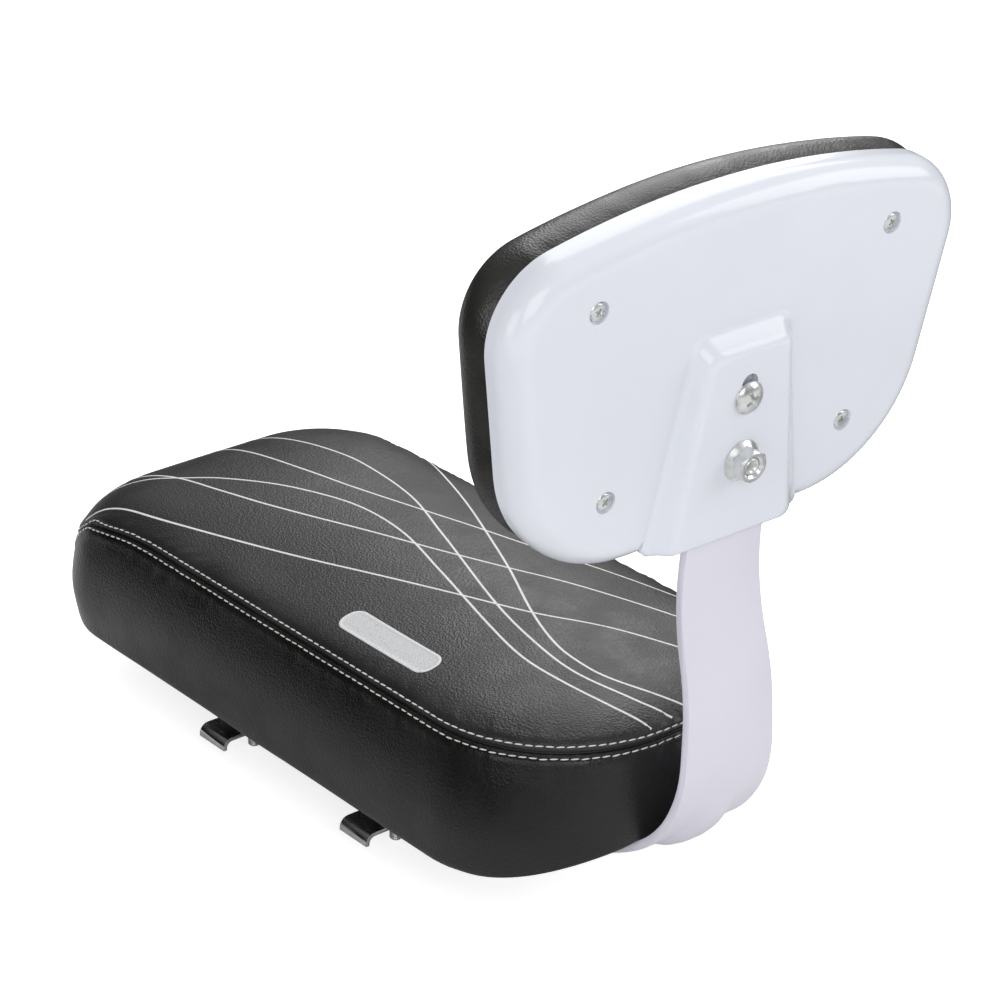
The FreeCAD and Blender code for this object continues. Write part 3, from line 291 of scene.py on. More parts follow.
@dataclass(frozen=True)
class Canvas:
    """A new material's shader tools, its Principled node and its Object coordinates."""

    shader: Shader
    surface: bpy.types.Node
    place: Socket

    def set(self, name: str, value: object) -> None:
        """Set or link one input of the surface."""
        self.shader.feed(self.surface.inputs[name], value)

    def effect(self, effect: Effect, scale: float) -> bpy.types.Node:
        """Place an effect's group in the material.

        Args:
            effect: The effect.
            scale: Features per metre.

        Returns:
            The group node.
        """
        node = self.shader.tree.nodes.new("ShaderNodeGroup")
        node.node_tree = effect_group(effect)
        self.shader.feed(node.inputs["Vector"], self.place)
        self.shader.feed(node.inputs["Scale"], scale)
        return node

    def paint(self, mask: Socket, colour: Colour, tones: tuple[float, float]) -> None:
        """Colour the surface from one tone of a colour to another.

        Args:
            mask: 0 for the first tone, 1 for the second.
            colour: The colour.
            tones: Its factor in each tone.
        """
        first, second = (tinted(colour, factor) for factor in tones)
        self.set("Base Color", self.shader.blend(mask, first, second))

    def roughen(self, mask: Socket, roughness: tuple[float, float]) -> None:
        """Let the roughness go from its first value to its second, by a mask."""
        self.set("Roughness", self.shader.remap(mask, 0.0, 1.0, *roughness))

    def bump(self, height: Socket, relief: float, strength: float) -> None:
        """Give the surface relief from a height.

        Args:
            height: Height between 0 and about 1.
            relief: Depth in metres.
            strength: Strength of the bump.
        """
        node = self.shader.add("Bump", {"Height": height, "Distance": relief, "Strength": strength})
        self.set("Normal", node.outputs["Normal"])


@dataclass(frozen=True)
class Finish:
    """A named finish that makes its own material."""

    name: str
    colour: Colour

    def dress(self, canvas: Canvas) -> None:
        """Set the surface up, which each kind of finish does in its own way."""
        raise NotImplementedError

    def material(self) -> bpy.types.Material:
        """Make the finish's material.

        Returns:
            The new material.
        """
        material = bpy.data.materials.new(self.name)
        material.use_nodes = True
        shader = Shader(material.node_tree)
        place = shader.add("TexCoord").outputs["Object"]
        self.dress(Canvas(shader, material.node_tree.nodes["Principled BSDF"], place))
        return material


@dataclass(frozen=True)
class Leatherette(Finish):
    """Grained coated fabric."""

    roughness: tuple[float, float]
    pebbles: float
    relief: float
    strength: float = 0.55
    gloss: float = 0.5
    smears: float = 14.0
    grain_share: float = 0.78
    tones: tuple[float, float] = (0.8, 1.25)

    def dress(self, canvas: Canvas) -> None:
        """Set up pebbled grain, broad tone and hand wear.

        Args:
            canvas: The new material.
        """
        shader = canvas.shader
        grain = canvas.effect(Effect.GRAIN, self.pebbles)
        wear = canvas.effect(Effect.HANDLING, self.smears)
        tone = shader.math("ADD", shader.math("MULTIPLY", grain.outputs["Tone"], self.grain_share),
                           shader.math("MULTIPLY", wear.outputs["Smear"], 1 - self.grain_share))
        canvas.paint(tone, self.colour, self.tones)
        canvas.roughen(tone, self.roughness)
        canvas.set("Specular IOR Level", self.gloss)
        canvas.bump(grain.outputs["Height"], self.relief, self.strength)


@dataclass(frozen=True)
class SmoothCoat(Finish):
    """Moulded plastic or sprayed paint."""

    roughness: tuple[float, float]
    coat: float
    bumps: float = 700.0
    relief: float = 0.00006
    strength: float = 0.25
    coat_roughness: float = 0.08
    smears: float = 18.0
    tones: tuple[float, float] = (0.985, 1.005)

    def dress(self, canvas: Canvas) -> None:
        """Set up orange peel and faint smears under a clear coat.

        Args:
            canvas: The new material.
        """
        skin = canvas.effect(Effect.SKIN, self.bumps)
        wear = canvas.effect(Effect.HANDLING, self.smears)
        canvas.paint(skin.outputs["Tone"], self.colour, self.tones)
        canvas.roughen(wear.outputs["Smear"], self.roughness)
        canvas.set("Coat Weight", self.coat)
        canvas.set("Coat Roughness", self.coat_roughness)
        canvas.bump(skin.outputs["Height"], self.relief, self.strength)


@dataclass(frozen=True)
class ZincPlate(Finish):
    """Zinc plated steel, whose dull plating scatters part of the light."""

    roughness: tuple[float, float]
    metal: float
    pits: float = 1800.0
    relief: float = 0.00004
    strength: float = 0.2
    smears: float = 60.0
    tones: tuple[float, float] = (0.86, 1.05)

    def dress(self, canvas: Canvas) -> None:
        """Set up cloudy plating with fine pits.

        Args:
            canvas: The new material.
        """
        skin = canvas.effect(Effect.PLATING, self.pits)
        wear = canvas.effect(Effect.HANDLING, self.smears)
        canvas.paint(skin.outputs["Tone"], self.colour, self.tones)
        canvas.roughen(wear.outputs["Smear"], self.roughness)
        canvas.set("Metallic", self.metal)
        canvas.bump(skin.outputs["Height"], self.relief, self.strength)


@dataclass(frozen=True)
class SewingThread(Finish):
    """Twisted thread."""

    twist: float = 5200.0
    relief: float = 0.0002
    strength: float = 0.5
    roughness: float = 0.6
    sheen: float = 0.2
    tones: tuple[float, float] = (0.86, 1.0)

    def dress(self, canvas: Canvas) -> None:
        """Set up fibres and a soft sheen.

        Args:
            canvas: The new material.
        """
        skin = canvas.effect(Effect.SKIN, self.twist)
        canvas.paint(skin.outputs["Tone"], self.colour, self.tones)
        canvas.set("Roughness", self.roughness)
        canvas.set("Sheen Weight", self.sheen)
        canvas.bump(skin.outputs["Height"], self.relief, self.strength)


@dataclass(frozen=True)
class PrintInk(Finish):
    """Ink screened on leatherette."""

    pebbles: float = 900.0
    relief: float = 0.0003
    strength: float = 0.4
    smears: float = 40.0
    speckle: float = 0.6
    tones: tuple[float, float] = (1.0, 0.55)
    roughness: tuple[float, float] = (0.42, 0.56)

    def dress(self, canvas: Canvas) -> None:
        """Set up ink that takes the grain and is speckled by it.

        Args:
            canvas: The new material.
        """
        grain = canvas.effect(Effect.GRAIN, self.pebbles)
        wear = canvas.effect(Effect.HANDLING, self.smears)
        mask = canvas.shader.math("MULTIPLY", wear.outputs["Speck"], self.speckle)
        canvas.paint(mask, self.colour, self.tones)
        canvas.roughen(grain.outputs["Tone"], self.roughness)
        canvas.bump(grain.outputs["Height"], self.relief, self.strength)


@dataclass(frozen=True)
class Plywood(Finish):
    """Painted plywood whose grain still shows."""

    dark: Colour
    stretch: tuple[float, float, float] = (1.0, 0.06, 1.0)
    rings: float = 240.0
    octaves: float = 6.0
    contrast: tuple[float, float] = (0.38, 0.68)
    bumps: float = 1300.0
    relief: float = 0.0003
    strength: float = 0.4
    roughness: tuple[float, float] = (0.62, 0.78)

    def dress(self, canvas: Canvas) -> None:
        """Set up long grain in two tones.

        Args:
            canvas: The new material.
        """
        shader = canvas.shader
        turn = shader.add("Mapping", {"Vector": canvas.place, "Scale": self.stretch})
        rings = shader.noise(turn.outputs[0], self.rings, self.octaves)
        skin = canvas.effect(Effect.SKIN, self.bumps)
        canvas.set("Base Color", shader.blend(shader.remap(rings, *self.contrast), self.colour, self.dark))
        canvas.roughen(skin.outputs["Tone"], self.roughness)
        canvas.bump(rings, self.relief, self.strength)


class Look(Enum):
    """The finishes of this seat: the record's slots first, then the thread and the print."""

    TOP = "top_leather"
    BAND = "band_leather"
    PAD = "pad_leather"
    SHELL = "shell_plastic"
    STRAP = "strap_paint"
    ZINC = "zinc"
    CLAMP = "clamp_zinc"
    BOARD = "board"
    THREAD = "thread"
    INK = "ink"
    LABEL = "label"
    LABEL_RIM = "label_rim"


FINISHES: dict[Look, Finish] = {
    Look.TOP: Leatherette("top leatherette", (0.021, 0.021, 0.021), (0.37, 0.49), 950.0, 0.0003),
    # The side band is the same leatherette as the top panel. Its colour is painted about three times darker,
    # as painted shade on the band's sides.
    Look.BAND: Leatherette("band leatherette", (0.0065, 0.0065, 0.006), (0.28, 0.4), 950.0, 0.00025),
    Look.PAD: Leatherette("pad leatherette", (0.021, 0.021, 0.0195), (0.31, 0.43), 1050.0, 0.00024,
                          gloss=0.85),
    Look.SHELL: SmoothCoat("shell plastic", (0.74, 0.765, 0.83), (0.22, 0.235), 0.35),
    Look.STRAP: SmoothCoat("strap powder coat", (0.71, 0.70, 0.785), (0.38, 0.395), 0.0, 1500.0, 0.0001),
    Look.ZINC: ZincPlate("bright zinc", (0.78, 0.79, 0.79), (0.22, 0.37), 0.7),
    Look.CLAMP: ZincPlate("clamp zinc", (0.70, 0.71, 0.73), (0.12, 0.27), 1.0),
    Look.BOARD: Plywood("black painted plywood", (0.022, 0.021, 0.02), (0.013, 0.012, 0.012)),
    Look.THREAD: SewingThread("white thread", (0.80, 0.79, 0.77)),
    Look.INK: PrintInk("white ink", (0.78, 0.78, 0.77)),
    Look.LABEL: PrintInk("label grey", (0.60, 0.61, 0.62)),
    Look.LABEL_RIM: PrintInk("label rim", (0.72, 0.73, 0.74)),
}


def material_of(look: Look) -> bpy.types.Material:
    """The material of a finish, made the first time it is asked for."""
    finish = FINISHES[look]
    return bpy.data.materials.get(finish.name) or finish.material()


# Mesh tools

def mesh_data(name: str, mesh: BMesh) -> bpy.types.Mesh:
    """Turn a work mesh into mesh data, and free it."""
    data = bpy.data.meshes.new(name)
    mesh.to_mesh(data)
    mesh.free()
    return data


def placed(name: str, data: bpy.types.ID) -> bpy.types.Object:
    """Put new data into the scene as an object."""
    made = bpy.data.objects.new(name, data)
    bpy.context.scene.collection.objects.link(made)
    return made


def piece(name: str, mesh: BMesh, looks: Sequence[Look], replaced: Sequence[str] = (),
          sharp: float = 40.0) -> bpy.types.Object:
    """Make a finished piece of the seat from a mesh in metres.

    Args:
        name: Piece name.
        mesh: Its mesh, which is freed.
        looks: Finishes of its material slots.
        replaced: CAD nodes that it stands for.
        sharp: Angle in degrees from which an edge stays sharp.

    Returns:
        The new object.
    """
    data = mesh_data(name, mesh)
    for look in looks:
        data.materials.append(material_of(look))
    data.shade_smooth()
    data.set_sharp_from_angle(angle=math.radians(sharp))
    made = placed(name, data)
    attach(made, BODY)
    if replaced:
        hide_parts(*replaced)
    LOG.info("%s: %d faces", name, len(data.polygons))
    return made


def evaluated(made: bpy.types.Object) -> bpy.types.Mesh:
    """The mesh of an object with its modifiers applied."""
    graph = bpy.context.evaluated_depsgraph_get()
    final = made.evaluated_get(graph)
    return bpy.data.meshes.new_from_object(final, preserve_all_data_layers=True, depsgraph=graph)


def apply_modifiers(made: bpy.types.Object) -> None:
    """Put an object's modifiers into its mesh."""
    before = made.data
    mesh = evaluated(made)
    made.modifiers.clear()
    made.data = mesh
    bpy.data.meshes.remove(before)


def closed(mesh: BMesh, distance: float) -> BMesh:
    """Merge a mesh's doubles and turn its faces outwards.

    Args:
        mesh: The mesh.
        distance: Distance under which points merge.

    Returns:
        The same mesh.
    """
    bmesh.ops.remove_doubles(mesh, verts=mesh.verts, dist=distance)
    bmesh.ops.recalc_face_normals(mesh, faces=mesh.faces)
    return mesh


def add_copy(mesh: BMesh, pattern: BMesh, place: Matrix) -> None:
    """Add a placed copy of a pattern to a mesh.

    Args:
        mesh: Mesh that takes the copy.
        pattern: Mesh that is copied.
        place: Where the copy goes.
    """
    data = bpy.data.meshes.new("copy")
    pattern.to_mesh(data)
    data.transform(place)
    mesh.from_mesh(data)
    bpy.data.meshes.remove(data)


def turned(points: Sequence[tuple[float, float]], steps: int, ring: bool = False) -> BMesh:
    """Turn a profile about Z.

    Args:
        points: Radius and height of each profile point, in millimetres.
        steps: Faces round the turn.
        ring: Whether the profile closes on itself, off the axis.

    Returns:
        The closed mesh in millimetres.
    """
    mesh = bmesh.new()
    verts = [mesh.verts.new((radius, 0.0, height)) for radius, height in points]
    pairs = list(zip(verts, verts[1:])) + ([(verts[-1], verts[0])] if ring else [])
    edges = [mesh.edges.new(pair) for pair in pairs]
    bmesh.ops.spin(mesh, geom=verts + edges, cent=(0, 0, 0), axis=(0, 0, 1), angle=math.tau, steps=steps,
                   use_merge=True, use_duplicate=False)
    return closed(mesh, 1e-4)


class Carve(Enum):
    """Ways to work one solid with another."""

    CUT = "DIFFERENCE"
    KEEP = "INTERSECT"
    JOIN = "UNION"


def carved(body: BMesh, tool: BMesh, way: Carve) -> BMesh:
    """Cut, trim or join a solid with a tool.

    Args:
        body: Solid that is worked, which is freed.
        tool: Tool solid, which is freed.
        way: What is done.

    Returns:
        The worked solid.
    """
    made = [placed("work", mesh_data("work", mesh)) for mesh in (body, tool)]
    modifier = made[0].modifiers.new("carve", "BOOLEAN")
    modifier.object = made[1]
    modifier.operation = way.value
    modifier.solver = "EXACT"
    bpy.context.view_layer.update()
    result = evaluated(made[0])
    mesh = bmesh.new()
    mesh.from_mesh(result)
    bpy.data.meshes.remove(result)
    for thing in made:
        data = thing.data
        bpy.data.objects.remove(thing)
        bpy.data.meshes.remove(data)
    return mesh


def softened(mesh: BMesh, width: float, angle: float) -> BMesh:
    """Round a mesh's sharp edges.

    Args:
        mesh: The mesh.
        width: Width of the rounding.
        angle: Angle in degrees from which an edge is sharp.

    Returns:
        The same mesh.
    """
    limit = math.radians(angle)
    edges = [edge for edge in mesh.edges if len(edge.link_faces) == 2 and edge.calc_face_angle() > limit]
    bmesh.ops.bevel(mesh, geom=edges, offset=width, offset_type="OFFSET", affect="EDGES", segments=2,
                    profile=0.5, material=-1, clamp_overlap=False)
    return mesh


def node_copy(node: str) -> BMesh:
    """A merged copy of a CAD node's mesh, with its flat faces made whole."""
    mesh = bmesh.new()
    mesh.from_mesh(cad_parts[node].data)
    bmesh.ops.remove_doubles(mesh, verts=mesh.verts, dist=2e-6)
    bmesh.ops.dissolve_limit(mesh, angle_limit=math.radians(0.4), verts=mesh.verts, edges=mesh.edges)
    return mesh


def lofted(rows: Sequence[Sequence[Vector]], ring: bool = True) -> BMesh:
    """Extrude a ring or an open line of edges from row to row.

    Args:
        rows: Points of each row, all of one length.
        ring: Whether each row closes on itself.

    Returns:
        The mesh, whose points know their row and column.
    """
    mesh = bmesh.new()
    row_mark = mesh.verts.layers.int.new("row")
    column_mark = mesh.verts.layers.int.new("column")
    if ring:
        verts = bmesh.ops.create_circle(mesh, cap_ends=False, segments=len(rows[0]), radius=1.0)["verts"]
    else:
        verts = [mesh.verts.new(spot) for spot in rows[0]]
        for pair in zip(verts, verts[1:]):
            mesh.edges.new(pair)
    for column, vert in enumerate(verts):
        vert[column_mark] = column
        vert.co = rows[0][column]
    edges = list(mesh.edges)
    for index, row in enumerate(rows[1:], 1):
        made = bmesh.ops.extrude_edge_only(mesh, edges=edges)["geom"]
        verts = {item for item in made if isinstance(item, bmesh.types.BMVert)}
        edges = list({edge for vert in verts for edge in vert.link_edges if edge.other_vert(vert) in verts})
        for vert in verts:
            vert[row_mark] = index
            vert.co = row[vert[column_mark]]
    return mesh


class SmoothPath:
    """A smooth curve through rows of numbers, by running distance."""

    def __init__(self, rows: Sequence[Sequence[float]], travel: Sequence[float]) -> None:
        """Keep the rows and find the slope at each.

        Args:
            rows: Numbers at each knot.
            travel: Running distance of each knot.
        """
        self.rows = [tuple(row) for row in rows]
        self.travel = list(travel)
        last = len(rows) - 1
        self.slopes = []
        for index in range(len(rows)):
            before, after = max(0, index - 1), min(last, index + 1)
            span = self.travel[after] - self.travel[before]
            self.slopes.append(tuple((b - a) / span for a, b in zip(self.rows[before], self.rows[after])))

    @property
    def end(self) -> float:
        """Running distance of the last knot."""
        return self.travel[-1]

    def at(self, distance: float) -> list[float]:
        """The numbers at a distance.

        Args:
            distance: Running distance.

        Returns:
            The numbers there.
        """
        index = 0
        while index < len(self.travel) - 2 and distance > self.travel[index + 1]:
            index += 1
        span = self.travel[index + 1] - self.travel[index]
        part = min(1.0, max(0.0, (distance - self.travel[index]) / span))
        square, cube = part ** 2, part ** 3
        weights = (2 * cube - 3 * square + 1, (cube - 2 * square + part) * span, 3 * square - 2 * cube,
                   (cube - square) * span)
        knots = zip(self.rows[index], self.slopes[index], self.rows[index + 1], self.slopes[index + 1])
        return [sum(weight * number for weight, number in zip(weights, group)) for group in knots]

    def heading(self, distance: float, reach: float) -> Vector:
        """The way from a reach before a distance to a reach after it."""
        before, after = max(0.0, distance - reach), min(self.end, distance + reach)
        return Vector(self.at(after)) - Vector(self.at(before))


def running(points: Sequence[Sequence[float]]) -> list[float]:
    """Running distance along a row of points."""
    travel = [0.0]
    for first, second in zip(points, points[1:]):
        travel.append(travel[-1] + math.dist(first, second))
    return travel


def smooth_step(value: float, low: float, high: float) -> float:
    """0 at low, 1 at high, with a soft start and end."""
    part = min(1.0, max(0.0, (value - low) / (high - low)))
    return part * part * (3 - 2 * part)


def bell(value: float, width: float) -> float:
    """A soft bump that is 1 at 0."""
    return math.exp(-((value / width) ** 2))


@dataclass(frozen=True)
class Padding:
    """How a padded cover swells as cloth, and the most that a point may move, in millimetres."""

    pressure: float
    most: float
    frames: int = 20
    quality: int = 6
    stiffness: float = 25.0
    bending: float = 2.0


def ridge(away: float, form: tuple[float, float, float]) -> float:
    """Height at a distance of a soft ridge or groove, given by its height, its place and its width."""
    height, place, width = form
    return height * bell(away - place, width)


def swell(made: bpy.types.Object, held: Sequence[int], padding: Padding) -> None:
    """Blow a padded cover up with cloth simulation and keep the result.

    Args:
        made: The cover's object.
        held: Points that stay.
        padding: How it swells.
    """
    start = [vert.co.copy() for vert in made.data.vertices]
    group = made.vertex_groups.new(name="held")
    group.add(list(held), 1.0, "REPLACE")
    cloth = made.modifiers.new("swell", "CLOTH")
    settings = cloth.settings
    settings.vertex_group_mass = group.name
    settings.use_pressure = True
    settings.uniform_pressure_force = padding.pressure
    settings.effector_weights.gravity = 0.0
    settings.quality = padding.quality
    settings.tension_stiffness = settings.compression_stiffness = padding.stiffness
    settings.bending_stiffness = padding.bending
    cloth.collision_settings.use_collision = False
    cloth.collision_settings.use_self_collision = False
    cloth.point_cache.frame_start = 1
    cloth.point_cache.frame_end = padding.frames
    scene = bpy.context.scene
    for number in range(1, padding.frames + 1):
        scene.frame_set(number)
    mesh = evaluated(made)
    most = padding.most * MM
    for vert, old, new in zip(made.data.vertices, start, mesh.vertices):
        move = new.co - old
        if move.length > most:
            move *= most / move.length
        vert.co = old + move
    bpy.data.meshes.remove(mesh)
    made.modifiers.clear()
    made.vertex_groups.clear()
    scene.frame_set(1)


def subdivide(made: bpy.types.Object, levels: int) -> None:
    """Smooth a piece by subdivision and keep the result."""
    modifier = made.modifiers.new("smooth", "SUBSURF")
    modifier.levels = modifier.render_levels = levels
    bpy.context.view_layer.update()
    apply_modifiers(made)


class Run(Enum):
    """Stretches of half an outline, each with its name and its number of columns."""

    @property
    def steps(self) -> int:
        """Columns of the stretch."""
        return self.value[1]


Column = tuple[Run, float, float]


def columns_round(runs: type[Run]) -> list[Column]:
    """Columns of a whole outline, out along its right half and back along its left.

    Args:
        runs: Stretches of half the outline.

    Returns:
        Stretch, part of it and side of each column.
    """
    half = [(run, step / run.steps) for run in runs for step in range(run.steps)]
    end = list(runs)[-1]
    columns = [(run, part, 1.0) for run, part in half] + [(end, 1.0, 1.0)]
    return columns + [(run, part, -1.0) for run, part in reversed(half[1:])]


def split_looks(mesh: BMesh, row: int) -> None:
    """Give faces from a row onwards the first finish, and those before it the second."""
    row_mark = mesh.verts.layers.int["row"]
    for face in mesh.faces:
        face.material_index = 0 if min(vert[row_mark] for vert in face.verts) >= row else 1


# Seat cushion

class SeatRun(Run):
    """Stretches of half the cushion's outline, from the middle of its rear to the middle of its nose."""

    REAR = ("rear", 3)
    REAR_CORNER = ("rear corner", 18)
    SIDE = ("side", 40)
    FRONT_CORNER = ("front corner", 13)
    FRONT = ("front", 6)


@dataclass(frozen=True)
class Level:
    """One level of the cushion: its height, its draw-in, and its flats between corners, in millimetres."""

    height: float
    side: float
    front: float
    rear: float
    front_flat: float
    rear_flat: float


class SewnLine(Enum):
    """Rows of the cushion that stitches or staples follow."""

    TOP = "stitches on the top panel"
    BAND = "stitches on the side band"
    HEM = "staples in the hem"


@dataclass
class SeatCushion:
    """The sewn cushion: top panel, side band and the hem that is turned under the board.

    Lengths are in millimetres. Each row of the hem has its draw-in and its lift over the board. The seam's
    relief, puckers and crimps are ridges beside it. The waves have their height, start and full distance.
    """

    half_width: float = 86.0
    nose: float = 188.5
    tail: float = 186.0
    cover: float = 1.2
    underside: float = 0.1
    bend_start: float = -121.0
    bend_centre: float = 110.0
    bend_radius: float = 109.9
    seam_height: float = 65.2
    seam_drop_start: float = 96.0
    seam_drop_radius: float = 240.0
    nose_drop: tuple[float, float, float] = (9.0, 150.0, 174.0)
    notch: float = 26.5
    notch_edge: float = 4.0
    notch_ends: tuple[float, float] = (-96.0, -108.0)
    notch_lift: float = 1.6
    hem_rows: Pairs = ((200.0, 5.0), (48.0, 5.0), (16.6, 5.0), (16.0, 0.0), (9.0, 0.0), (3.0, 0.0))
    levels: tuple[Level, ...] = (
        Level(-1.1, 6.5, 6.0, 11.5, 45.0, 15.5),
        Level(1.2, 3.4, 3.2, 7.8, 46.0, 16.5),
        Level(9.0, 1.7, 1.3, 3.9, 46.3, 17.2),
        Level(24.0, 0.0, 0.0, 0.0, 46.5, 18.0),
        Level(50.0, 2.5, 5.0, 0.5, 43.0, 15.5),
        Level(66.0, 7.5, 18.0, 2.5, 36.5, 10.5),
        Level(73.0, 16.0, 32.0, 11.0, 28.0, 3.0),
        Level(77.0, 36.0, 58.0, 32.0, 20.0, 3.0),
        Level(78.7, 60.0, 88.0, 62.0, 9.0, 1.0),
        Level(79.2, 86.0, 118.0, 92.0, 0.0, 0.0),
    )
    band_starts: tuple[float, ...] = (0.0, 1.6, 3.4, 6.0, 10.5)
    band_parts: tuple[float, ...] = (1 / 6, 2 / 6, 3 / 6, 4 / 6, 5 / 6)
    near_seam: tuple[float, ...] = (1.2, 2.6, 4.2, 8.0)
    top_parts: tuple[float, ...] = (0.1, 0.2, 0.31, 0.43, 0.56, 0.7, 0.85, 1.0)
    padding: Padding = Padding(3.0, 2.6)
    stitch_row: int = 2
    staple_row: int = 4
    seam_relief: tuple[tuple[float, float, float], ...] = (
        (-1.0, 0.0, 0.7), (0.35, 1.5, 0.7), (-0.4, 2.6, 0.5), (0.3, 5.0, 1.9),
    )
    puckers: tuple[float, float, float] = (0.75, 5.4, 4.0)
    crimps: tuple[float, float, float] = (0.35, 1.2, 0.7)
    waves: tuple[float, float, float] = (0.55, 6.0, 26.0)

    def __post_init__(self) -> None:
        """Set up the profile curve and the outline's columns."""
        rows = [astuple(level) for level in self.levels]
        self.profile = SmoothPath(rows, running([row[:2] for row in rows]))
        self.columns = columns_round(SeatRun)
        self.skin: BVHTree | None = None
        self.lines: dict[SewnLine, list[Vector]] = {}

    def outline(self, level: Sequence[float], column: Column, inset: float = 0.0) -> Vector:
        """A point of the cushion's outline.

        Args:
            level: Numbers of the level.
            column: Stretch, part of it and side.
            inset: How far the outline is drawn in further.

        Returns:
            The point, in millimetres.
        """
        height, side, front, rear, front_flat, rear_flat = level
        run, part, mirror = column
        half = max(0.0, self.half_width - side - inset)
        ahead, behind = self.nose - front - inset, self.tail - rear - inset
        front_radius, rear_radius = max(0.0, half - front_flat), max(0.0, half - rear_flat)
        front_flat, rear_flat = min(front_flat, half), min(rear_flat, half)
        if run is SeatRun.REAR:
            x, y = rear_flat * part, -behind
        elif run is SeatRun.REAR_CORNER:
            angle = math.radians(90 * part - 90)
            x, y = rear_flat + rear_radius * math.cos(angle), rear_radius * (1 + math.sin(angle)) - behind
        elif run is SeatRun.SIDE:
            low, high = rear_radius - behind, ahead - front_radius
            x, y = half, low + (high - low) * part
        elif run is SeatRun.FRONT_CORNER:
            angle = math.radians(90 * part)
            x, y = front_flat + front_radius * math.cos(angle), ahead - front_radius * (1 - math.sin(angle))
        else:
            x, y = front_flat * (1 - part), ahead
        return Vector((mirror * x, y, height))

    def board_height(self, y: float) -> float:
        """Height of the board's underside, which curves up over the strap's bend."""
        if y > self.bend_start:
            return self.underside
        return self.bend_centre - math.sqrt(self.bend_radius ** 2 - (y - self.bend_start) ** 2)

    def hem_height(self, point: Vector) -> float:
        """Height of the hem's lower face, which stays clear of the strap."""
        across = smooth_step(abs(point.x), self.notch + self.notch_edge, self.notch)
        clear = across * smooth_step(point.y, *self.notch_ends)
        return self.board_height(point.y) - self.cover + self.notch_lift * clear

    def seam_level(self, y: float) -> float:
        """Height of the seam, which falls gently along the side and faster over the nose.

        Args:
            y: Place along the seat.

        Returns:
            The seam's height there.
        """
        if y < self.seam_drop_start:
            return self.seam_height
        drop, low, high = self.nose_drop
        radius = self.seam_drop_radius
        fall = radius - math.sqrt(radius ** 2 - (y - self.seam_drop_start) ** 2)
        return self.seam_height - fall - drop * smooth_step(y, low, high)

    def meet(self, column: Column, height: Callable[[Vector], float]) -> float:
        """Distance up the profile at which a column meets a height.

        Args:
            column: The column.
            height: Height to meet at a point.

        Returns:
            Distance up the profile.
        """
        low, high = 0.0, self.profile.end
        for _ in range(40):
            middle = (low + high) / 2
            point = self.outline(self.profile.at(middle), column)
            if point.z < height(point):
                low = middle
            else:
                high = middle
        return (low + high) / 2

    def column_points(self, column: Column) -> tuple[list[Vector], list[float], Vector]:
        """One column of the cushion, from the hidden middle of its base to the middle of its top.

        Args:
            column: The column.

        Returns:
            Its points, their distance above the seam, and the seam's point.
        """
        start = self.meet(column, self.hem_height)
        seam = self.meet(column, lambda point: self.seam_level(point.y))
        low = self.profile.at(start)
        points, distances = [], []
        for inset, lift in self.hem_rows:
            if inset > self.half_width:
                point = self.outline(self.profile.at(self.profile.end), column)
            else:
                point = self.outline(low, column, inset)
            point.z = self.board_height(point.y) + lift if lift else self.hem_height(point)
            points.append(point)
            distances.append(start - seam - inset)
        near = self.near_seam[-1]
        foot = start + self.band_starts[-1]
        travels = [start + step for step in self.band_starts]
        travels += [foot + (seam - near - foot) * part for part in self.band_parts]
        travels += [seam - step for step in reversed(self.near_seam)] + [seam]
        travels += [seam + step for step in self.near_seam]
        travels += [seam + near + (self.profile.end - seam - near) * part for part in self.top_parts]
        for travel in travels:
            points.append(self.outline(self.profile.at(travel), column))
            distances.append(travel - seam)
        return points, distances, self.outline(self.profile.at(seam), column)

    def build(self) -> bpy.types.Object:
        """Build the cushion as one closed skin.

        Returns:
            The cushion's object.
        """
        strips = [self.column_points(column) for column in self.columns]
        rows = [[points[index] * MM for points, _, _ in strips] for index in range(len(strips[0][0]))]
        band_row = len(self.hem_rows) + len(self.band_starts)
        seam_row = band_row + len(self.band_parts) + len(self.near_seam)
        mesh = lofted(rows)
        row_mark, column_mark = (mesh.verts.layers.int[name] for name in ("row", "column"))
        distance_mark = mesh.verts.layers.float.new("seam")
        foot_mark = mesh.verts.layers.float_vector.new("seam_point")
        for vert in mesh.verts:
            _, distances, foot = strips[vert[column_mark]]
            vert[distance_mark] = distances[vert[row_mark]]
            vert[foot_mark] = foot
        split_looks(mesh, seam_row)
        closed(mesh, 2e-6)
        made = piece("seat_cushion", mesh, (Look.TOP, Look.BAND),
                     ("seat_foam", "seat_top_panel", "seat_side_band"), 180.0)
        loose = set(range(band_row, seam_row - len(self.near_seam)))
        loose |= set(range(seam_row + len(self.near_seam) + 1, len(rows)))
        marks = made.data.attributes["row"].data
        held = [index for index, mark in enumerate(marks) if mark.value not in loose]
        swell(made, held, self.padding)
        self.keep_lines(made, seam_row)
        subdivide(made, 2)
        self.sew(made)
        made.data.shade_smooth()
        solid = bmesh.new()
        solid.from_mesh(made.data)
        self.skin = BVHTree.FromBMesh(solid)
        solid.free()
        return made

    def keep_lines(self, made: bpy.types.Object, seam_row: int) -> None:
        """Keep the rows that the stitches and staples follow.

        Args:
            made: The cushion before it is subdivided.
            seam_row: Number of the seam's row.
        """
        wanted = {
            seam_row + self.stitch_row: SewnLine.TOP, seam_row - self.stitch_row: SewnLine.BAND,
            self.staple_row: SewnLine.HEM,
        }
        found: dict[SewnLine, dict[int, Vector]] = {line: {} for line in wanted.values()}
        rows, columns = (made.data.attributes[name].data for name in ("row", "column"))
        for row, column, vert in zip(rows, columns, made.data.vertices):
            if row.value in wanted:
                found[wanted[row.value]][column.value] = vert.co.copy()
        self.lines = {line: [row[index] for index in sorted(row)] for line, row in found.items()}

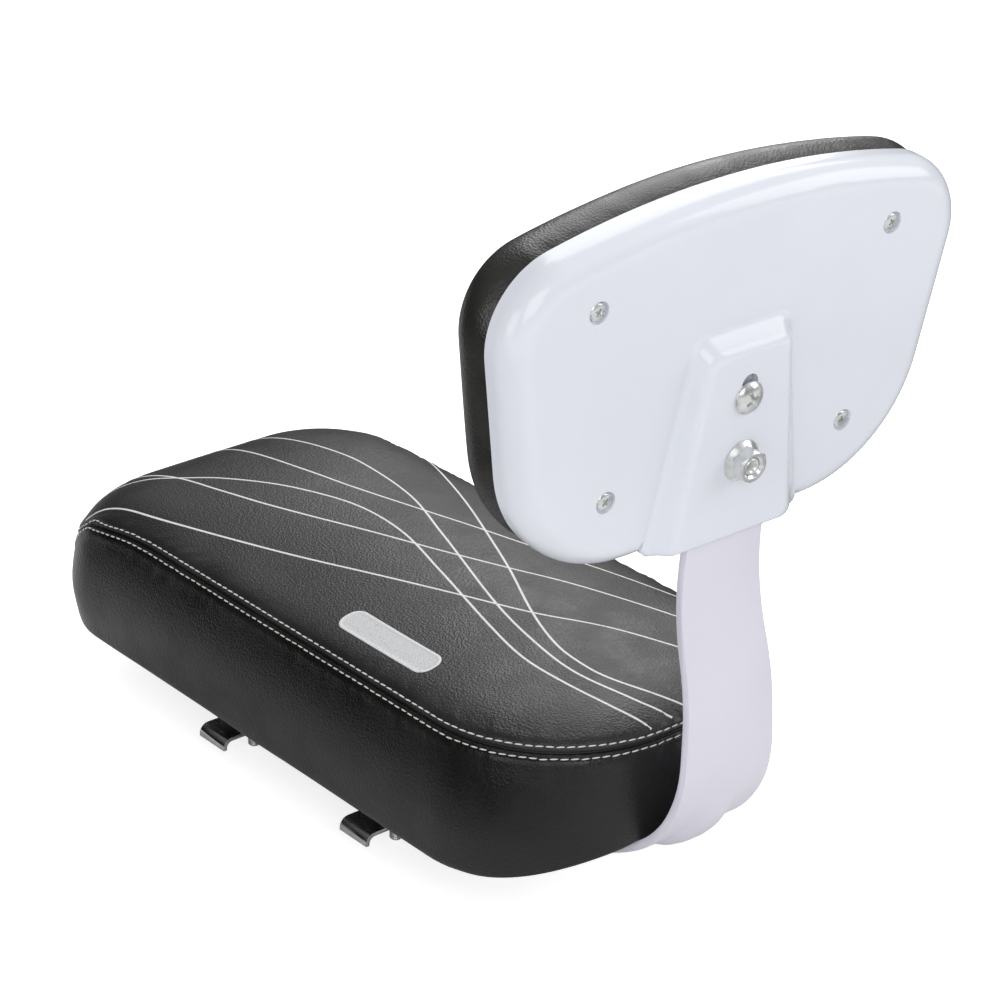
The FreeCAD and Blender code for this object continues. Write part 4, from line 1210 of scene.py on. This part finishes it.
    def sew(self, made: bpy.types.Object) -> None:
        """Draw the seam in, raise its two lips and pucker the leatherette beside it.

        Args:
            made: The cushion, whose points know their distance from the seam.
        """
        data = made.data
        near = data.attributes["seam"].data
        feet = data.attributes["seam_point"].data
        wave, start, full = self.waves
        normals = [vert.normal.copy() for vert in data.vertices]
        for index, vert in enumerate(data.vertices):
            foot = Vector(feet[index].vector)
            away = abs(near[index].value)
            pucker = noise.noise(foot * 0.17) * 0.6 + noise.noise(foot * 0.41 + Vector((7, 1, 3))) * 0.4
            lift = sum(ridge(away, form) for form in self.seam_relief)
            lift += pucker * ridge(away, self.puckers) + noise.noise(foot * 0.9) * ridge(away, self.crimps)
            lift += wave * noise.noise(vert.co * 16.0) * smooth_step(away, start, full)
            vert.co += normals[index] * lift * MM
        data.update()


@dataclass
class Stitching:
    """Two rows of thread, one on each side of the cushion's seam, and staples in its hem."""

    cushion: SeatCushion
    pitch: float = 4.4
    length: float = 3.7
    thread: float = 0.36
    proud: float = 0.12
    lean: float = 4.0
    staple_pitch: float = 24.0
    staple: tuple[float, float, float] = (9.0, 0.9, 0.7)
    staple_proud: float = 0.1
    staple_edge: float = 0.22
    aim: float = 0.5

    def places(self, line: SewnLine, pitch: float) -> list[Matrix]:
        """Places along one of the cushion's rows, on its skin.

        Args:
            line: Which row.
            pitch: Distance from place to place, in millimetres.

        Returns:
            Frames whose X runs along the row and whose Z leaves the skin.
        """
        row = self.cushion.lines[line]
        points = row + row[:1]
        path = SmoothPath(points, running(points))
        count = round(path.end / (pitch * MM))
        found = []
        for index in range(count):
            here = path.end * index / count
            foot, normal, _, _ = self.cushion.skin.find_nearest(Vector(path.at(here)))
            way = path.heading(here, self.aim * MM)
            ahead = (way - normal * way.dot(normal)).normalized()
            turn = Matrix((ahead, normal.cross(ahead), normal)).transposed().to_4x4()
            found.append(Matrix.Translation(foot) @ turn)
        return found

    def sew(self) -> bpy.types.Object:
        """Sew both rows as one piece of thread."""
        mesh = bmesh.new()
        shape = Matrix.Diagonal((self.length / 2 * MM, self.thread * MM, self.thread * MM, 1.0))
        lean = Matrix.Rotation(math.radians(self.lean), 4, "Z")
        raised = Matrix.Translation((0, 0, self.proud * MM))
        quarter = Matrix.Rotation(math.radians(90), 4, "Y")
        for line in (SewnLine.TOP, SewnLine.BAND):
            for place in self.places(line, self.pitch):
                bmesh.ops.create_uvsphere(mesh, u_segments=8, v_segments=6, radius=1.0,
                                          matrix=place @ raised @ lean @ shape @ quarter)
        return piece("seam_stitches", mesh, (Look.THREAD,))

    def staple_hem(self) -> bpy.types.Object:
        """Drive the staples that hold the hem."""
        mesh = bmesh.new()
        shape = Matrix.Diagonal((*(size * MM for size in self.staple), 1.0))
        raised = Matrix.Translation((0, 0, self.staple_proud * MM))
        for place in self.places(SewnLine.HEM, self.staple_pitch):
            spot = place.translation
            if abs(spot.x) < self.cushion.notch * MM + self.staple[0] * MM and spot.y < 0:
                continue
            bmesh.ops.create_cube(mesh, size=1.0, matrix=place @ raised @ shape)
        softened(mesh, self.staple_edge * MM, 40.0)
        return piece("hem_staples", mesh, (Look.ZINC,))


# Backrest

@dataclass
class BackFrame:
    """The leaning frame of the backrest: X right, Y up the back, Z out of the back."""

    across: float = -214.823
    height: float = 283.368
    lean: float = 6.6

    @property
    def place(self) -> Matrix:
        """From millimetres in the back's own frame to metres in the seat's."""
        turn = Matrix.Rotation(math.radians(90 + self.lean), 4, "X")
        return MILLIMETRES @ Matrix.Translation((0, self.across, self.height)) @ turn

    def at(self, x: float, y: float, z: float) -> Matrix:
        """The frame moved to a point of the back."""
        return self.place @ Matrix.Translation((x, y, z))


class PadRun(Run):
    """Stretches of half the pad's outline, from the middle of its foot to the middle of its top."""

    FOOT = ("foot", 8)
    LOWER_CORNER = ("lower corner", 16)
    FLANK = ("flank", 8)
    UPPER_CORNER = ("upper corner", 14)
    CROWN = ("crown", 14)


@dataclass
class BackrestPad:
    """The leatherette pad that the shell holds from behind.

    Lengths are in millimetres. A corner has its middle and its radius. The levels have their depth and their
    draw-in, and the rows of the base and the face have their depth and their share of the last level.
    """

    back: BackFrame
    upper: tuple[float, float, float] = (84.0, -13.0, 34.0)
    lower: tuple[float, float, float] = (47.5, -60.5, 62.0)
    crown: float = 410.0
    middle: float = -44.0
    base: Pairs = ((4.5, 0.0), (4.5, 0.25), (4.4, 0.5), (4.2, 0.75))
    levels: Pairs = (
        (3.6, 15.0), (5.2, 10.5), (9.0, 6.2), (14.0, 4.3), (17.0, 3.2), (21.0, 0.8),
        (27.0, -0.5), (33.0, 1.2), (38.0, 5.0), (41.6, 10.5), (44.2, 17.0), (46.2, 29.0),
    )
    face: Pairs = ((47.4, 0.8), (48.4, 0.58), (49.0, 0.36), (49.3, 0.16))
    held_levels: int = 5
    folds: tuple[float, float, float] = (0.5, 18.0, 5.0)
    waves: tuple[float, float, float] = (0.45, 16.0, 27.0)
    padding: Padding = Padding(2.0, 2.0)

    def outline(self, column: Column, inset: float) -> Vector:
        """A point of the pad's outline.

        Args:
            column: Stretch, part of it and side.
            inset: How far the outline is drawn in.

        Returns:
            The point in the back's frame, at no depth.
        """
        run, part, mirror = column
        upper, lower = Vector(self.upper[:2]), Vector(self.lower[:2])
        between = upper - lower
        taper = math.acos((self.lower[2] - self.upper[2]) / between.length)
        flank = math.atan2(between.y, between.x) - taper
        reach = self.crown - self.upper[2]
        shoulder = math.pi / 2 - math.asin(upper.x / reach)
        upper_radius, lower_radius = self.upper[2] - inset, self.lower[2] - inset
        out = Vector((math.cos(flank), math.sin(flank)))
        if run is PadRun.FOOT:
            spot = Vector((lower.x * part, lower.y - lower_radius))
        elif run is PadRun.LOWER_CORNER:
            angle = -math.pi / 2 + (flank + math.pi / 2) * part
            spot = lower + lower_radius * Vector((math.cos(angle), math.sin(angle)))
        elif run is PadRun.FLANK:
            spot = (lower + lower_radius * out).lerp(upper + upper_radius * out, part)
        elif run is PadRun.UPPER_CORNER:
            angle = flank + (shoulder - flank) * part
            spot = upper + upper_radius * Vector((math.cos(angle), math.sin(angle)))
        else:
            angle = shoulder + (math.pi / 2 - shoulder) * part
            centre = Vector((0.0, upper.y - reach * math.sin(shoulder)))
            spot = centre + (self.crown - inset) * Vector((math.cos(angle), math.sin(angle)))
        return Vector((mirror * spot.x, spot.y, 0.0))

    def build(self) -> bpy.types.Object:
        """Build the pad as one closed skin.

        Returns:
            The pad's object.
        """
        columns = columns_round(PadRun)
        centre = Vector((0.0, self.middle, 0.0))
        rows = []
        for depth, share in self.base:
            rows.append([centre.lerp(self.outline(column, self.levels[0][1]), share) - Vector((0, 0, depth))
                         for column in columns])
        back_rows = len(rows)
        for depth, inset in self.levels:
            rows.append([self.outline(column, inset) - Vector((0, 0, depth)) for column in columns])
        last = rows[-1]
        for depth, share in self.face:
            rows.append([Vector((*centre.lerp(spot, share).xy, -depth)) for spot in last])
        rows.append([Vector((*centre.xy, -self.face[-1][0])) for _ in columns])
        mesh = lofted([[self.back.place @ spot for spot in row] for row in rows])
        row_mark = mesh.verts.layers.int["row"]
        depth_mark = mesh.verts.layers.float.new("depth")
        for vert in mesh.verts:
            level = vert[row_mark] - back_rows
            vert[depth_mark] = self.levels[min(max(level, 0), len(self.levels) - 1)][0]
        closed(mesh, 2e-6)
        made = piece("backrest_pad", mesh, (Look.PAD,), ("backrest_cover", "backrest_foam"), 180.0)
        marks = made.data.attributes["row"].data
        held = [index for index, mark in enumerate(marks) if mark.value < back_rows + self.held_levels]
        swell(made, held, self.padding)
        subdivide(made, 2)
        self.gather(made)
        made.data.shade_smooth()
        return made

    def gather(self, made: bpy.types.Object) -> None:
        """Draw small gathers into the leatherette where it goes into the shell.

        Args:
            made: The pad, whose points know their depth.
        """
        data = made.data
        depths = data.attributes["depth"].data
        wave, start, full = self.waves
        normals = [vert.normal.copy() for vert in data.vertices]
        for index, vert in enumerate(data.vertices):
            depth = depths[index].value
            fold = noise.noise(Vector((vert.co.x * 150, vert.co.z * 150, 2.0)))
            lift = fold * ridge(depth, self.folds)
            lift += wave * noise.noise(vert.co * 19) * smooth_step(depth, start, full)
            vert.co += normals[index] * lift * MM
        data.update()


@dataclass
class SeatPrint:
    """Thin white stripes and a bare label printed on the top panel."""

    cushion: SeatCushion
    width: float = 1.1
    step: float = 2.5
    edge_lift: float = 0.02
    crown_lift: float = 0.16
    above: float = 0.2
    stripes: tuple[Pairs, ...] = (
        ((1, 182.5), (2, 172), (5, 142), (8.5, 104), (14.5, 72), (26, 30), (36, -3), (46, -36), (57, -68),
         (67, -100), (75, -124)),
        ((-47, 178), (-43, 160), (-37.5, 136), (-33.5, 108), (-27, 80), (-10, 29), (3, -9), (18, -45),
         (31, -72), (50, -120), (63, -150)),
        ((-75, 162), (-72, 145), (-68.5, 115), (-61, 84), (-48, 40), (-34, -3), (-15.5, -53), (-2, -86),
         (17, -118), (30, -143), (44, -168)),
        ((-66, 173), (-61, 168), (-48.5, 154.5), (-37.5, 137), (-25, 119.5), (-6, 82), (4, 50), (3, 15),
         (-8.5, -29), (-24, -86), (-29.6, -115), (-28.5, -140), (-23.5, -163), (-16, -181)),
        ((16.5, 182.5), (20, 172), (28, 148), (34, 120), (37, 90), (32.5, 47), (17, 3), (-8.5, -68),
         (-18.5, -111), (-20, -138), (-12.5, -165), (-4, -180.5)),
        ((75.5, 89), (73, 82), (55, 36), (36.5, -5), (18, -45), (-2, -86), (-12.5, -116), (-13.5, -138),
         (-10, -152), (-1, -169), (7, -180)),
    )
    label_middle: tuple[float, float] = (-59.8, -59.0)
    label_half: tuple[float, float] = (7.0, 31.5)
    label_radius: float = 6.0
    label_rings: Pairs = (
        (0.0, -0.15), (0.0, 0.22), (0.25, 0.36), (1.1, 0.36),
        (1.3, 0.27), (3.0, 0.27), (5.0, 0.27), (6.99, 0.27),
    )
    label_rim: int = 4
    merge: float = 0.06
    corner_steps: int = 8
    side_steps: int = 12

    def on_skin(self, x: float, y: float) -> tuple[Vector, Vector]:
        """The cushion's skin over a point of the plan.

        Args:
            x: Place across, in millimetres.
            y: Place along, in millimetres.

        Returns:
            The point on the skin and the way out of it.
        """
        start = Vector((x * MM, y * MM, self.above))
        spot, normal, _, _ = self.cushion.skin.ray_cast(start, Vector((0, 0, -1)))
        return spot, normal

    def stripe(self, points: Sequence[tuple[float, float]]) -> BMesh:
        """One stripe, a low ribbon of ink that follows the skin.

        Args:
            points: The stripe's points in plan.

        Returns:
            The stripe's mesh.
        """
        path = SmoothPath(points, running(points))
        count = round(path.end / self.step)
        rows = []
        for index in range(count + 1):
            here = path.end * index / count
            spot, normal = self.on_skin(*path.at(here))
            way = Vector((*path.heading(here, 1.0), 0.0))
            across = normal.cross(way).normalized() * self.width / 2 * MM
            edge, crown = normal * self.edge_lift * MM, normal * self.crown_lift * MM
            rows.append([spot - across + edge, spot + crown, spot + across + edge])
        return lofted(rows, ring=False)

    def draw_stripes(self) -> bpy.types.Object:
        """Draw all the stripes as one piece."""
        mesh = bmesh.new()
        for points in self.stripes:
            stripe = self.stripe(points)
            add_copy(mesh, stripe, Matrix.Identity(4))
            stripe.free()
        for face in mesh.faces:
            face.normal_update()
            if face.normal.z < 0:
                face.normal_flip()
        return piece("top_stripes", mesh, (Look.INK,), (), 180.0)

    def label_ring(self, inset: float) -> list[tuple[float, float]]:
        """The label's rounded outline, drawn in by an inset.

        Args:
            inset: How far it is drawn in.

        Returns:
            Its points in plan.
        """
        half_x, half_y = (size - inset for size in self.label_half)
        radius = min(max(0.05, self.label_radius - inset), half_x)
        points = []
        for turn, side, end in ((0, 1, 1), (90, -1, 1), (180, -1, -1), (270, 1, -1)):
            for step in range(self.corner_steps + 1):
                angle = math.radians(turn + 90 * step / self.corner_steps)
                points.append((side * (half_x - radius) + radius * math.cos(angle),
                               end * (half_y - radius) + radius * math.sin(angle)))
            if turn in (90, 270):
                low, high = end * (half_y - radius), -end * (half_y - radius)
                points.extend((side * half_x, low + (high - low) * part / self.side_steps)
                              for part in range(1, self.side_steps))
        x, y = self.label_middle
        return [(x + across, y + along) for across, along in points]

    def lay_label(self) -> bpy.types.Object:
        """Lay the bare label, with a paler rim, on the skin."""
        rows = []
        for inset, lift in self.label_rings:
            feet = [self.on_skin(*spot) for spot in self.label_ring(inset)]
            rows.append([spot + normal * lift * MM for spot, normal in feet])
        mesh = lofted(rows)
        split_looks(mesh, self.label_rim)
        bmesh.ops.remove_doubles(mesh, verts=mesh.verts, dist=self.merge * MM)
        for face in mesh.faces:
            face.normal_update()
        bmesh.ops.recalc_face_normals(mesh, faces=mesh.faces)
        top = max(mesh.faces, key=lambda face: face.calc_area())
        if top.normal.z < 0:
            bmesh.ops.reverse_faces(mesh, faces=mesh.faces)
        return piece("top_label", mesh, (Look.LABEL, Look.LABEL_RIM), (), 60.0)


# Strap, clamps and shell

@dataclass
class RigidPieces:
    """Boards, strap, clamp plates and shell: CAD shapes with rounded edges and finished surfaces."""

    strap_edge: float = 0.55
    clamp_edge: float = 0.35
    sharp: float = 50.0

    def dress_boards(self) -> None:
        """Give the two boards and the tee nut, which stay as they are, their finish."""
        looks = {"seat_base_board": Look.BOARD, "backrest_board": Look.BOARD, "upper_tee_nut": Look.ZINC}
        for node, look in looks.items():
            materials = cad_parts[node].data.materials
            materials.clear()
            materials.append(material_of(look))
            LOG.info("%s: %s", node, look.value)

    def build(self) -> None:
        """Build the rounded copies."""
        self.dress_boards()
        strap = softened(node_copy("support_strap"), self.strap_edge * MM, self.sharp)
        piece("strap", strap, (Look.STRAP,), ("support_strap",), 32.0)
        for node in ("front_clamp_plate", "rear_clamp_plate"):
            plate = softened(node_copy(node), self.clamp_edge * MM, self.sharp)
            piece(node.replace("_plate", ""), plate, (Look.CLAMP,), (node,), 32.0)
        shell = node_copy("backrest_shell")
        made = piece("back_shell", shell, (Look.SHELL,), ("backrest_shell",), 38.0)
        modifier = made.modifiers.new("even shading", "WEIGHTED_NORMAL")
        modifier.keep_sharp = True


# Fasteners

def hex_nut(flats: float, low: float, high: float, chamfer: float) -> BMesh:
    """A hexagon with turned corners.

    Args:
        flats: Width across flats.
        low: Height of its lower face.
        high: Height of its upper face.
        chamfer: How far its corners are turned down.

    Returns:
        The closed mesh in millimetres.
    """
    mesh = bmesh.new()
    reach = flats / math.sqrt(3)
    bmesh.ops.create_cone(mesh, cap_ends=True, segments=6, radius1=reach, radius2=reach, depth=high - low,
                          matrix=Matrix.Translation((0, 0, (low + high) / 2)))
    slim = flats / 2 - 0.15
    limit = turned([(0, low - 0.01), (slim, low - 0.01), (reach + 0.2, low + chamfer),
                    (reach + 0.2, high - chamfer), (slim, high + 0.01), (0, high + 0.01)], 48)
    return carved(mesh, limit, Carve.KEEP)


def threaded(radius: float, low: float, high: float, pitch: float = 1.0) -> list[tuple[float, float]]:
    """Profile of a thread, from its lower end up.

    Args:
        radius: Outer radius.
        low: Lower end.
        high: Upper end.
        pitch: Distance from crest to crest.

    Returns:
        Profile points.
    """
    depth = 0.3 * pitch
    points = [(0.0, low), (radius - 2 * depth, low), (radius - depth, low + depth)]
    height = low + pitch / 2
    while height + pitch < high:
        points += [(radius, height + pitch * 0.35), (radius, height + pitch * 0.5),
                   (radius - depth, height + pitch)]
        height += pitch
    return points


def cross_cut(head: BMesh, reach: float, width: float, floor: float, top: float) -> BMesh:
    """Cut a cross recess into a screw head, one tapered slot after the other.

    Args:
        head: The head in millimetres, which is freed.
        reach: Length of an arm.
        width: Width of an arm.
        floor: Height of the recess's floor.
        top: Height that the tool reaches up to.

    Returns:
        The head with its recess.
    """
    for turn in (28, 118):
        slot = bmesh.new()
        bmesh.ops.create_cube(slot, size=1.0, matrix=Matrix.Diagonal((2 * reach, width, 1.0, 1.0)))
        for vert in slot.verts:
            if vert.co.z < 0:
                vert.co.x *= 0.45
                vert.co.y *= 0.7
            vert.co.z = floor if vert.co.z < 0 else top
        slot.transform(Matrix.Rotation(math.radians(turn), 4, "Z"))
        head = carved(head, slot, Carve.CUT)
    return head


@dataclass
class BoltSet:
    """Carriage bolts with washers and nuts under the seat board."""

    name: str
    spots: Pairs
    shank: float = 3.0
    rim: float = 7.0
    head: float = 3.2
    washer: float = 7.0
    hole: float = 3.2
    flats: float = 10.0

    def build(self) -> None:
        """Build the set's bolts, washers and nuts."""
        span = {kind: tuple(corner[2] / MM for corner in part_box(f"{self.name}_{kind}"))
                for kind in ("bolts", "washers", "nuts")}
        low, high = span["bolts"]
        neck = high - self.head
        bolt = turned(threaded(self.shank, low, 0.0) + [
            (self.shank, 0.0), (self.shank, neck), (self.rim, neck), (self.rim - 0.3, high - 2.2),
            (self.rim * 0.62, high - 0.5), (0.0, high)], 24)
        bottom, top = span["washers"]
        washer = turned([(self.hole, bottom), (self.washer - 0.25, bottom), (self.washer, bottom + 0.25),
                         (self.washer, top - 0.1), (self.washer - 0.1, top), (self.hole, top)], 40, ring=True)
        bottom, top = span["nuts"]
        bore = turned([(0, bottom - 1), (self.shank + 0.7, bottom - 1), (self.shank + 0.05, bottom + 0.6),
                       (self.shank + 0.05, top + 1), (0, top + 1)], 32)
        nut = carved(hex_nut(self.flats, bottom, top, 0.55), bore, Carve.CUT)
        for kind, pattern in (("bolts", bolt), ("washers", washer), ("nuts", nut)):
            mesh = bmesh.new()
            for index, (x, y) in enumerate(self.spots):
                turn = Matrix.Rotation(math.radians(17 + 41 * index), 4, "Z")
                add_copy(mesh, pattern, MILLIMETRES @ Matrix.Translation((x, y, 0)) @ turn)
            pattern.free()
            node = f"{self.name}_{kind}"
            piece(node + "_zinc", mesh, (Look.ZINC,), (node,), 28.0)


@dataclass
class BackFasteners:
    """Shell screws, the domed upper screw, and the lower bolt with its flange nut."""

    back: BackFrame
    screw_spots: Pairs = ((76.5, -2.5), (-76.5, -2.5), (63.5, -88.5), (-63.5, -88.5))
    recess: float = -2.0
    face: float = 7.4
    upper: float = -56.5
    lower: float = -84.5
    inside: float = -11.0

    def shell_screws(self) -> bpy.types.Object:
        """Four pan screws with cross recesses."""
        floor = self.recess
        head = turned([(0, floor - 8), (1.75, floor - 5), (1.75, floor), (4.0, floor), (4.0, floor + 0.55),
                       (3.75, floor + 1.05), (3.1, floor + 1.5), (2.0, floor + 1.75), (0, floor + 1.8)], 40)
        head = cross_cut(head, 2.35, 0.95, floor + 0.45, floor + 3)
        mesh = bmesh.new()
        for index, (x, y) in enumerate(self.screw_spots):
            add_copy(mesh, head, self.back.at(x, y, 0) @ Matrix.Rotation(math.radians(35 * index), 4, "Z"))
        head.free()
        return piece("shell_screws_zinc", mesh, (Look.ZINC,), ("shell_screws",), 30.0)

    def upper_screw(self) -> bpy.types.Object:
        """The domed washer-head screw in the boss's slot."""
        face = self.face
        dome = [(7.25, face), (7.25, face + 0.6), (7.1, face + 0.9), (6.6, face + 1.4), (5.9, face + 1.95),
                (4.9, face + 2.5), (3.7, face + 2.95), (2.2, face + 3.25), (0.0, face + 3.4)]
        head = turned([(0, self.inside), (4.0, self.inside), (4.0, face)] + dome, 56)
        head = cross_cut(head, 4.6, 1.9, face + 0.9, face + 4.2)
        head.transform(self.back.at(0, self.upper, 0))
        return piece("upper_screw_zinc", head, (Look.ZINC,), ("upper_screw",), 30.0)

    def flange_nut(self) -> bpy.types.Object:
        """The flange nut with a turned end."""
        face = self.face
        body = hex_nut(13.0, face, face + 8.0, 1.3)
        skirt = turned([(0, face), (8.95, face), (8.95, face + 0.7), (8.7, face + 1.1), (6.4, face + 2.9),
                        (0, face + 2.9)], 56)
        body = carved(body, skirt, Carve.JOIN)
        bore = turned([(0, face - 1), (4.05, face - 1), (4.05, face + 6.6), (5.1, face + 7.5),
                       (5.3, face + 8.3), (0, face + 8.3)], 40)
        body = carved(body, bore, Carve.CUT)
        body.transform(self.back.at(0, self.lower, 0))
        return piece("flange_nut_zinc", body, (Look.ZINC,), ("lower_flange_nut",), 30.0)

    def lower_bolt(self) -> bpy.types.Object:
        """The carriage bolt whose threaded end shows in the nut."""
        start, end = self.inside, self.face + 7.0
        body = turned([(0, start), (4.5, start), (9.0, start + 1.2), (9.0, start + 2.2),
                       (4.0, start + 2.2), (4.0, end - 1.1), (3.6, end - 0.7), (3.6, end - 0.4),
                       (3.2, end), (2.5, end - 0.1), (2.0, end - 0.7), (0, end - 0.9)], 40)
        body.transform(self.back.at(0, self.lower, 0))
        return piece("lower_bolt_zinc", body, (Look.ZINC,), ("lower_bolt",), 30.0)

    def build(self) -> None:
        """Build all of the back's fasteners."""
        self.shell_screws()
        self.upper_screw()
        self.flange_nut()
        self.lower_bolt()


# Studio

@dataclass(frozen=True)
class Lamp:
    """A square lamp: its name, where it hangs, its width in metres and its power in watts."""

    name: str
    place: tuple[float, float, float]
    size: float
    power: float


def seen_plainly(shader: Shader, path: bpy.types.Node) -> Socket:
    """1 for rays from the camera, also through something clear."""
    return shader.math("MAXIMUM", path.outputs["Is Camera Ray"], path.outputs["Is Transmission Ray"])


@dataclass
class Studio:
    """White floor and surround, soft lamps and the photograph's camera."""

    floor: float = -0.028
    spread: float = 6.0
    pale: float = 0.82
    glow: float = 0.72
    lamps: tuple[Lamp, ...] = (
        Lamp("key", (-0.95, -1.9, 1.05), 1.3, 12.0),
        Lamp("over", (0.72, 0.38, 1.5), 1.1, 9.0),
        Lamp("fill", (1.6, -1.3, 1.0), 1.2, 11.0),
        Lamp("front", (0.85, 0.78, 0.76), 0.55, 2.8),
        Lamp("side", (-1.6, -0.6, 0.6), 0.8, 4.0),
    )
    target: tuple[float, float, float] = (0.0, -0.05, 0.1)
    camera: tuple[float, float, float] = (-0.8299, -1.0883, 0.7461)
    azimuth: float = -38.933
    elevation: float = 25.169
    lens: float = 120.32
    ambient: float = 0.55
    horizon: float = 0.08

    def hang(self, lamp: Lamp) -> None:
        """Hang a lamp that looks at the seat."""
        light = bpy.data.lights.new(lamp.name, "AREA")
        light.size = lamp.size
        light.energy = lamp.power
        made = placed(lamp.name, light)
        made.location = lamp.place
        aim = Vector(self.target) - Vector(lamp.place)
        made.rotation_euler = aim.to_track_quat("-Z", "Y").to_euler()

    def gloss_level(self, shader: Shader) -> Socket:
        """Brightness that a gloss sees: white overhead and on the right, dim round the horizon.

        Args:
            shader: The world's shader tools.

        Returns:
            The brightness's socket.
        """
        way = shader.add("TexCoord").outputs["Generated"]
        parts = shader.add("SeparateXYZ", {"Vector": way})
        rise = shader.remap(parts.outputs["Z"], 0.1, 0.75, self.horizon, self.pale)
        return shader.math("MULTIPLY", rise, shader.remap(parts.outputs["X"], -0.15, 0.4, 0.15, 1.0))

    def build(self) -> None:
        """Build the studio."""
        bpy.context.scene.view_settings.view_transform = "Standard"
        self.surround()
        self.lay_floor()
        for lamp in self.lamps:
            self.hang(lamp)
        self.set_camera()

    def surround(self) -> None:
        """Set up a surround that is white to the eye, and dimmer to the seat's surfaces."""
        world = bpy.data.worlds.new("surround")
        bpy.context.scene.world = world
        world.use_nodes = True
        shader = Shader(world.node_tree)
        ground = world.node_tree.nodes["Background"]
        ground.inputs["Color"].default_value = (1.0, 1.0, 1.0, 1.0)
        path = shader.add("LightPath")
        clear = seen_plainly(shader, path)
        gloss = shader.math("MULTIPLY", path.outputs["Is Glossy Ray"], self.gloss_level(shader))
        other = shader.math("MULTIPLY", path.outputs["Is Diffuse Ray"], self.ambient)
        level = shader.math("MAXIMUM", shader.math("MAXIMUM", clear, gloss), other)
        shader.feed(ground.inputs["Strength"], level)
        world.cycles.sampling_method = "NONE"

    def set_camera(self) -> None:
        """Set the photograph's camera up."""
        lens = bpy.data.cameras.new("camera")
        lens.sensor_width = 36.0
        lens.lens = self.lens
        lens.clip_start = 0.01
        eye = placed("camera", lens)
        eye.location = self.camera
        turn, rise = math.radians(self.azimuth), math.radians(self.elevation)
        back = Vector((math.sin(turn) * math.cos(rise), -math.cos(turn) * math.cos(rise), math.sin(rise)))
        eye.rotation_euler = (-back).to_track_quat("-Z", "Y").to_euler()
        bpy.context.scene.camera = eye

    def lay_floor(self) -> None:
        """Lay the pale floor, which keeps a soft shadow, and whose colour for glossy rays is painted pale
        near the seat and dark away from it.
        """
        mesh = bmesh.new()
        bmesh.ops.create_grid(mesh, x_segments=2, y_segments=2, size=self.spread,
                              matrix=Matrix.Translation((0, 0, self.floor)))
        data = mesh_data("floor", mesh)
        material = bpy.data.materials.new("pale floor")
        material.use_nodes = True
        shader = Shader(material.node_tree)
        surface = material.node_tree.nodes["Principled BSDF"]
        surface.inputs["Roughness"].default_value = 0.9
        surface.inputs["Emission Color"].default_value = (1.0, 1.0, 1.0, 1.0)
        path = shader.add("LightPath")
        parts = shader.add("SeparateXYZ", {"Vector": shader.add("TexCoord").outputs["Object"]})
        # For glossy rays the floor's colour is painted: pale near the seat and dark away from it. This is a
        # painted pool of light and painted shade that the seat's gloss reflects.
        near = shader.remap(shader.math("ABSOLUTE", parts.outputs["X"]), 0.09, 0.32, 0.75, 0.03)
        rear = shader.remap(parts.outputs["Y"], -0.7, -0.3, 0.78, 0.0)
        painted_gloss_darkening = shader.math("SUBTRACT", self.pale, shader.math("MAXIMUM", near, rear))
        shade = shader.math("MULTIPLY", path.outputs["Is Glossy Ray"], painted_gloss_darkening)
        shader.feed(surface.inputs["Base Color"], shader.math("SUBTRACT", self.pale, shade))
        glow = shader.math("MULTIPLY", seen_plainly(shader, path), self.glow)
        shader.feed(surface.inputs["Emission Strength"], glow)
        material.cycles.emission_sampling = "NONE"
        data.materials.append(material)
        made = placed("floor", data)


def main() -> None:
    """Build the studio and every piece of the seat in order."""
    logging.basicConfig(level=logging.INFO, format="%(message)s")
    Studio().build()
    cushion = SeatCushion()
    cushion.build()
    stitching = Stitching(cushion)
    stitching.sew()
    stitching.staple_hem()
    printed = SeatPrint(cushion)
    printed.draw_stripes()
    printed.lay_label()
    RigidPieces().build()
    BoltSet("strap", ((14, -8), (-14, -8), (14, -98), (-14, -98))).build()
    BoltSet("clamp", ((55, 55), (-55, 55), (55, -55), (-55, -55))).build()
    back = BackFrame()
    BackrestPad(back).build()
    BackFasteners(back).build()


if __name__ == "__main__":
    main()
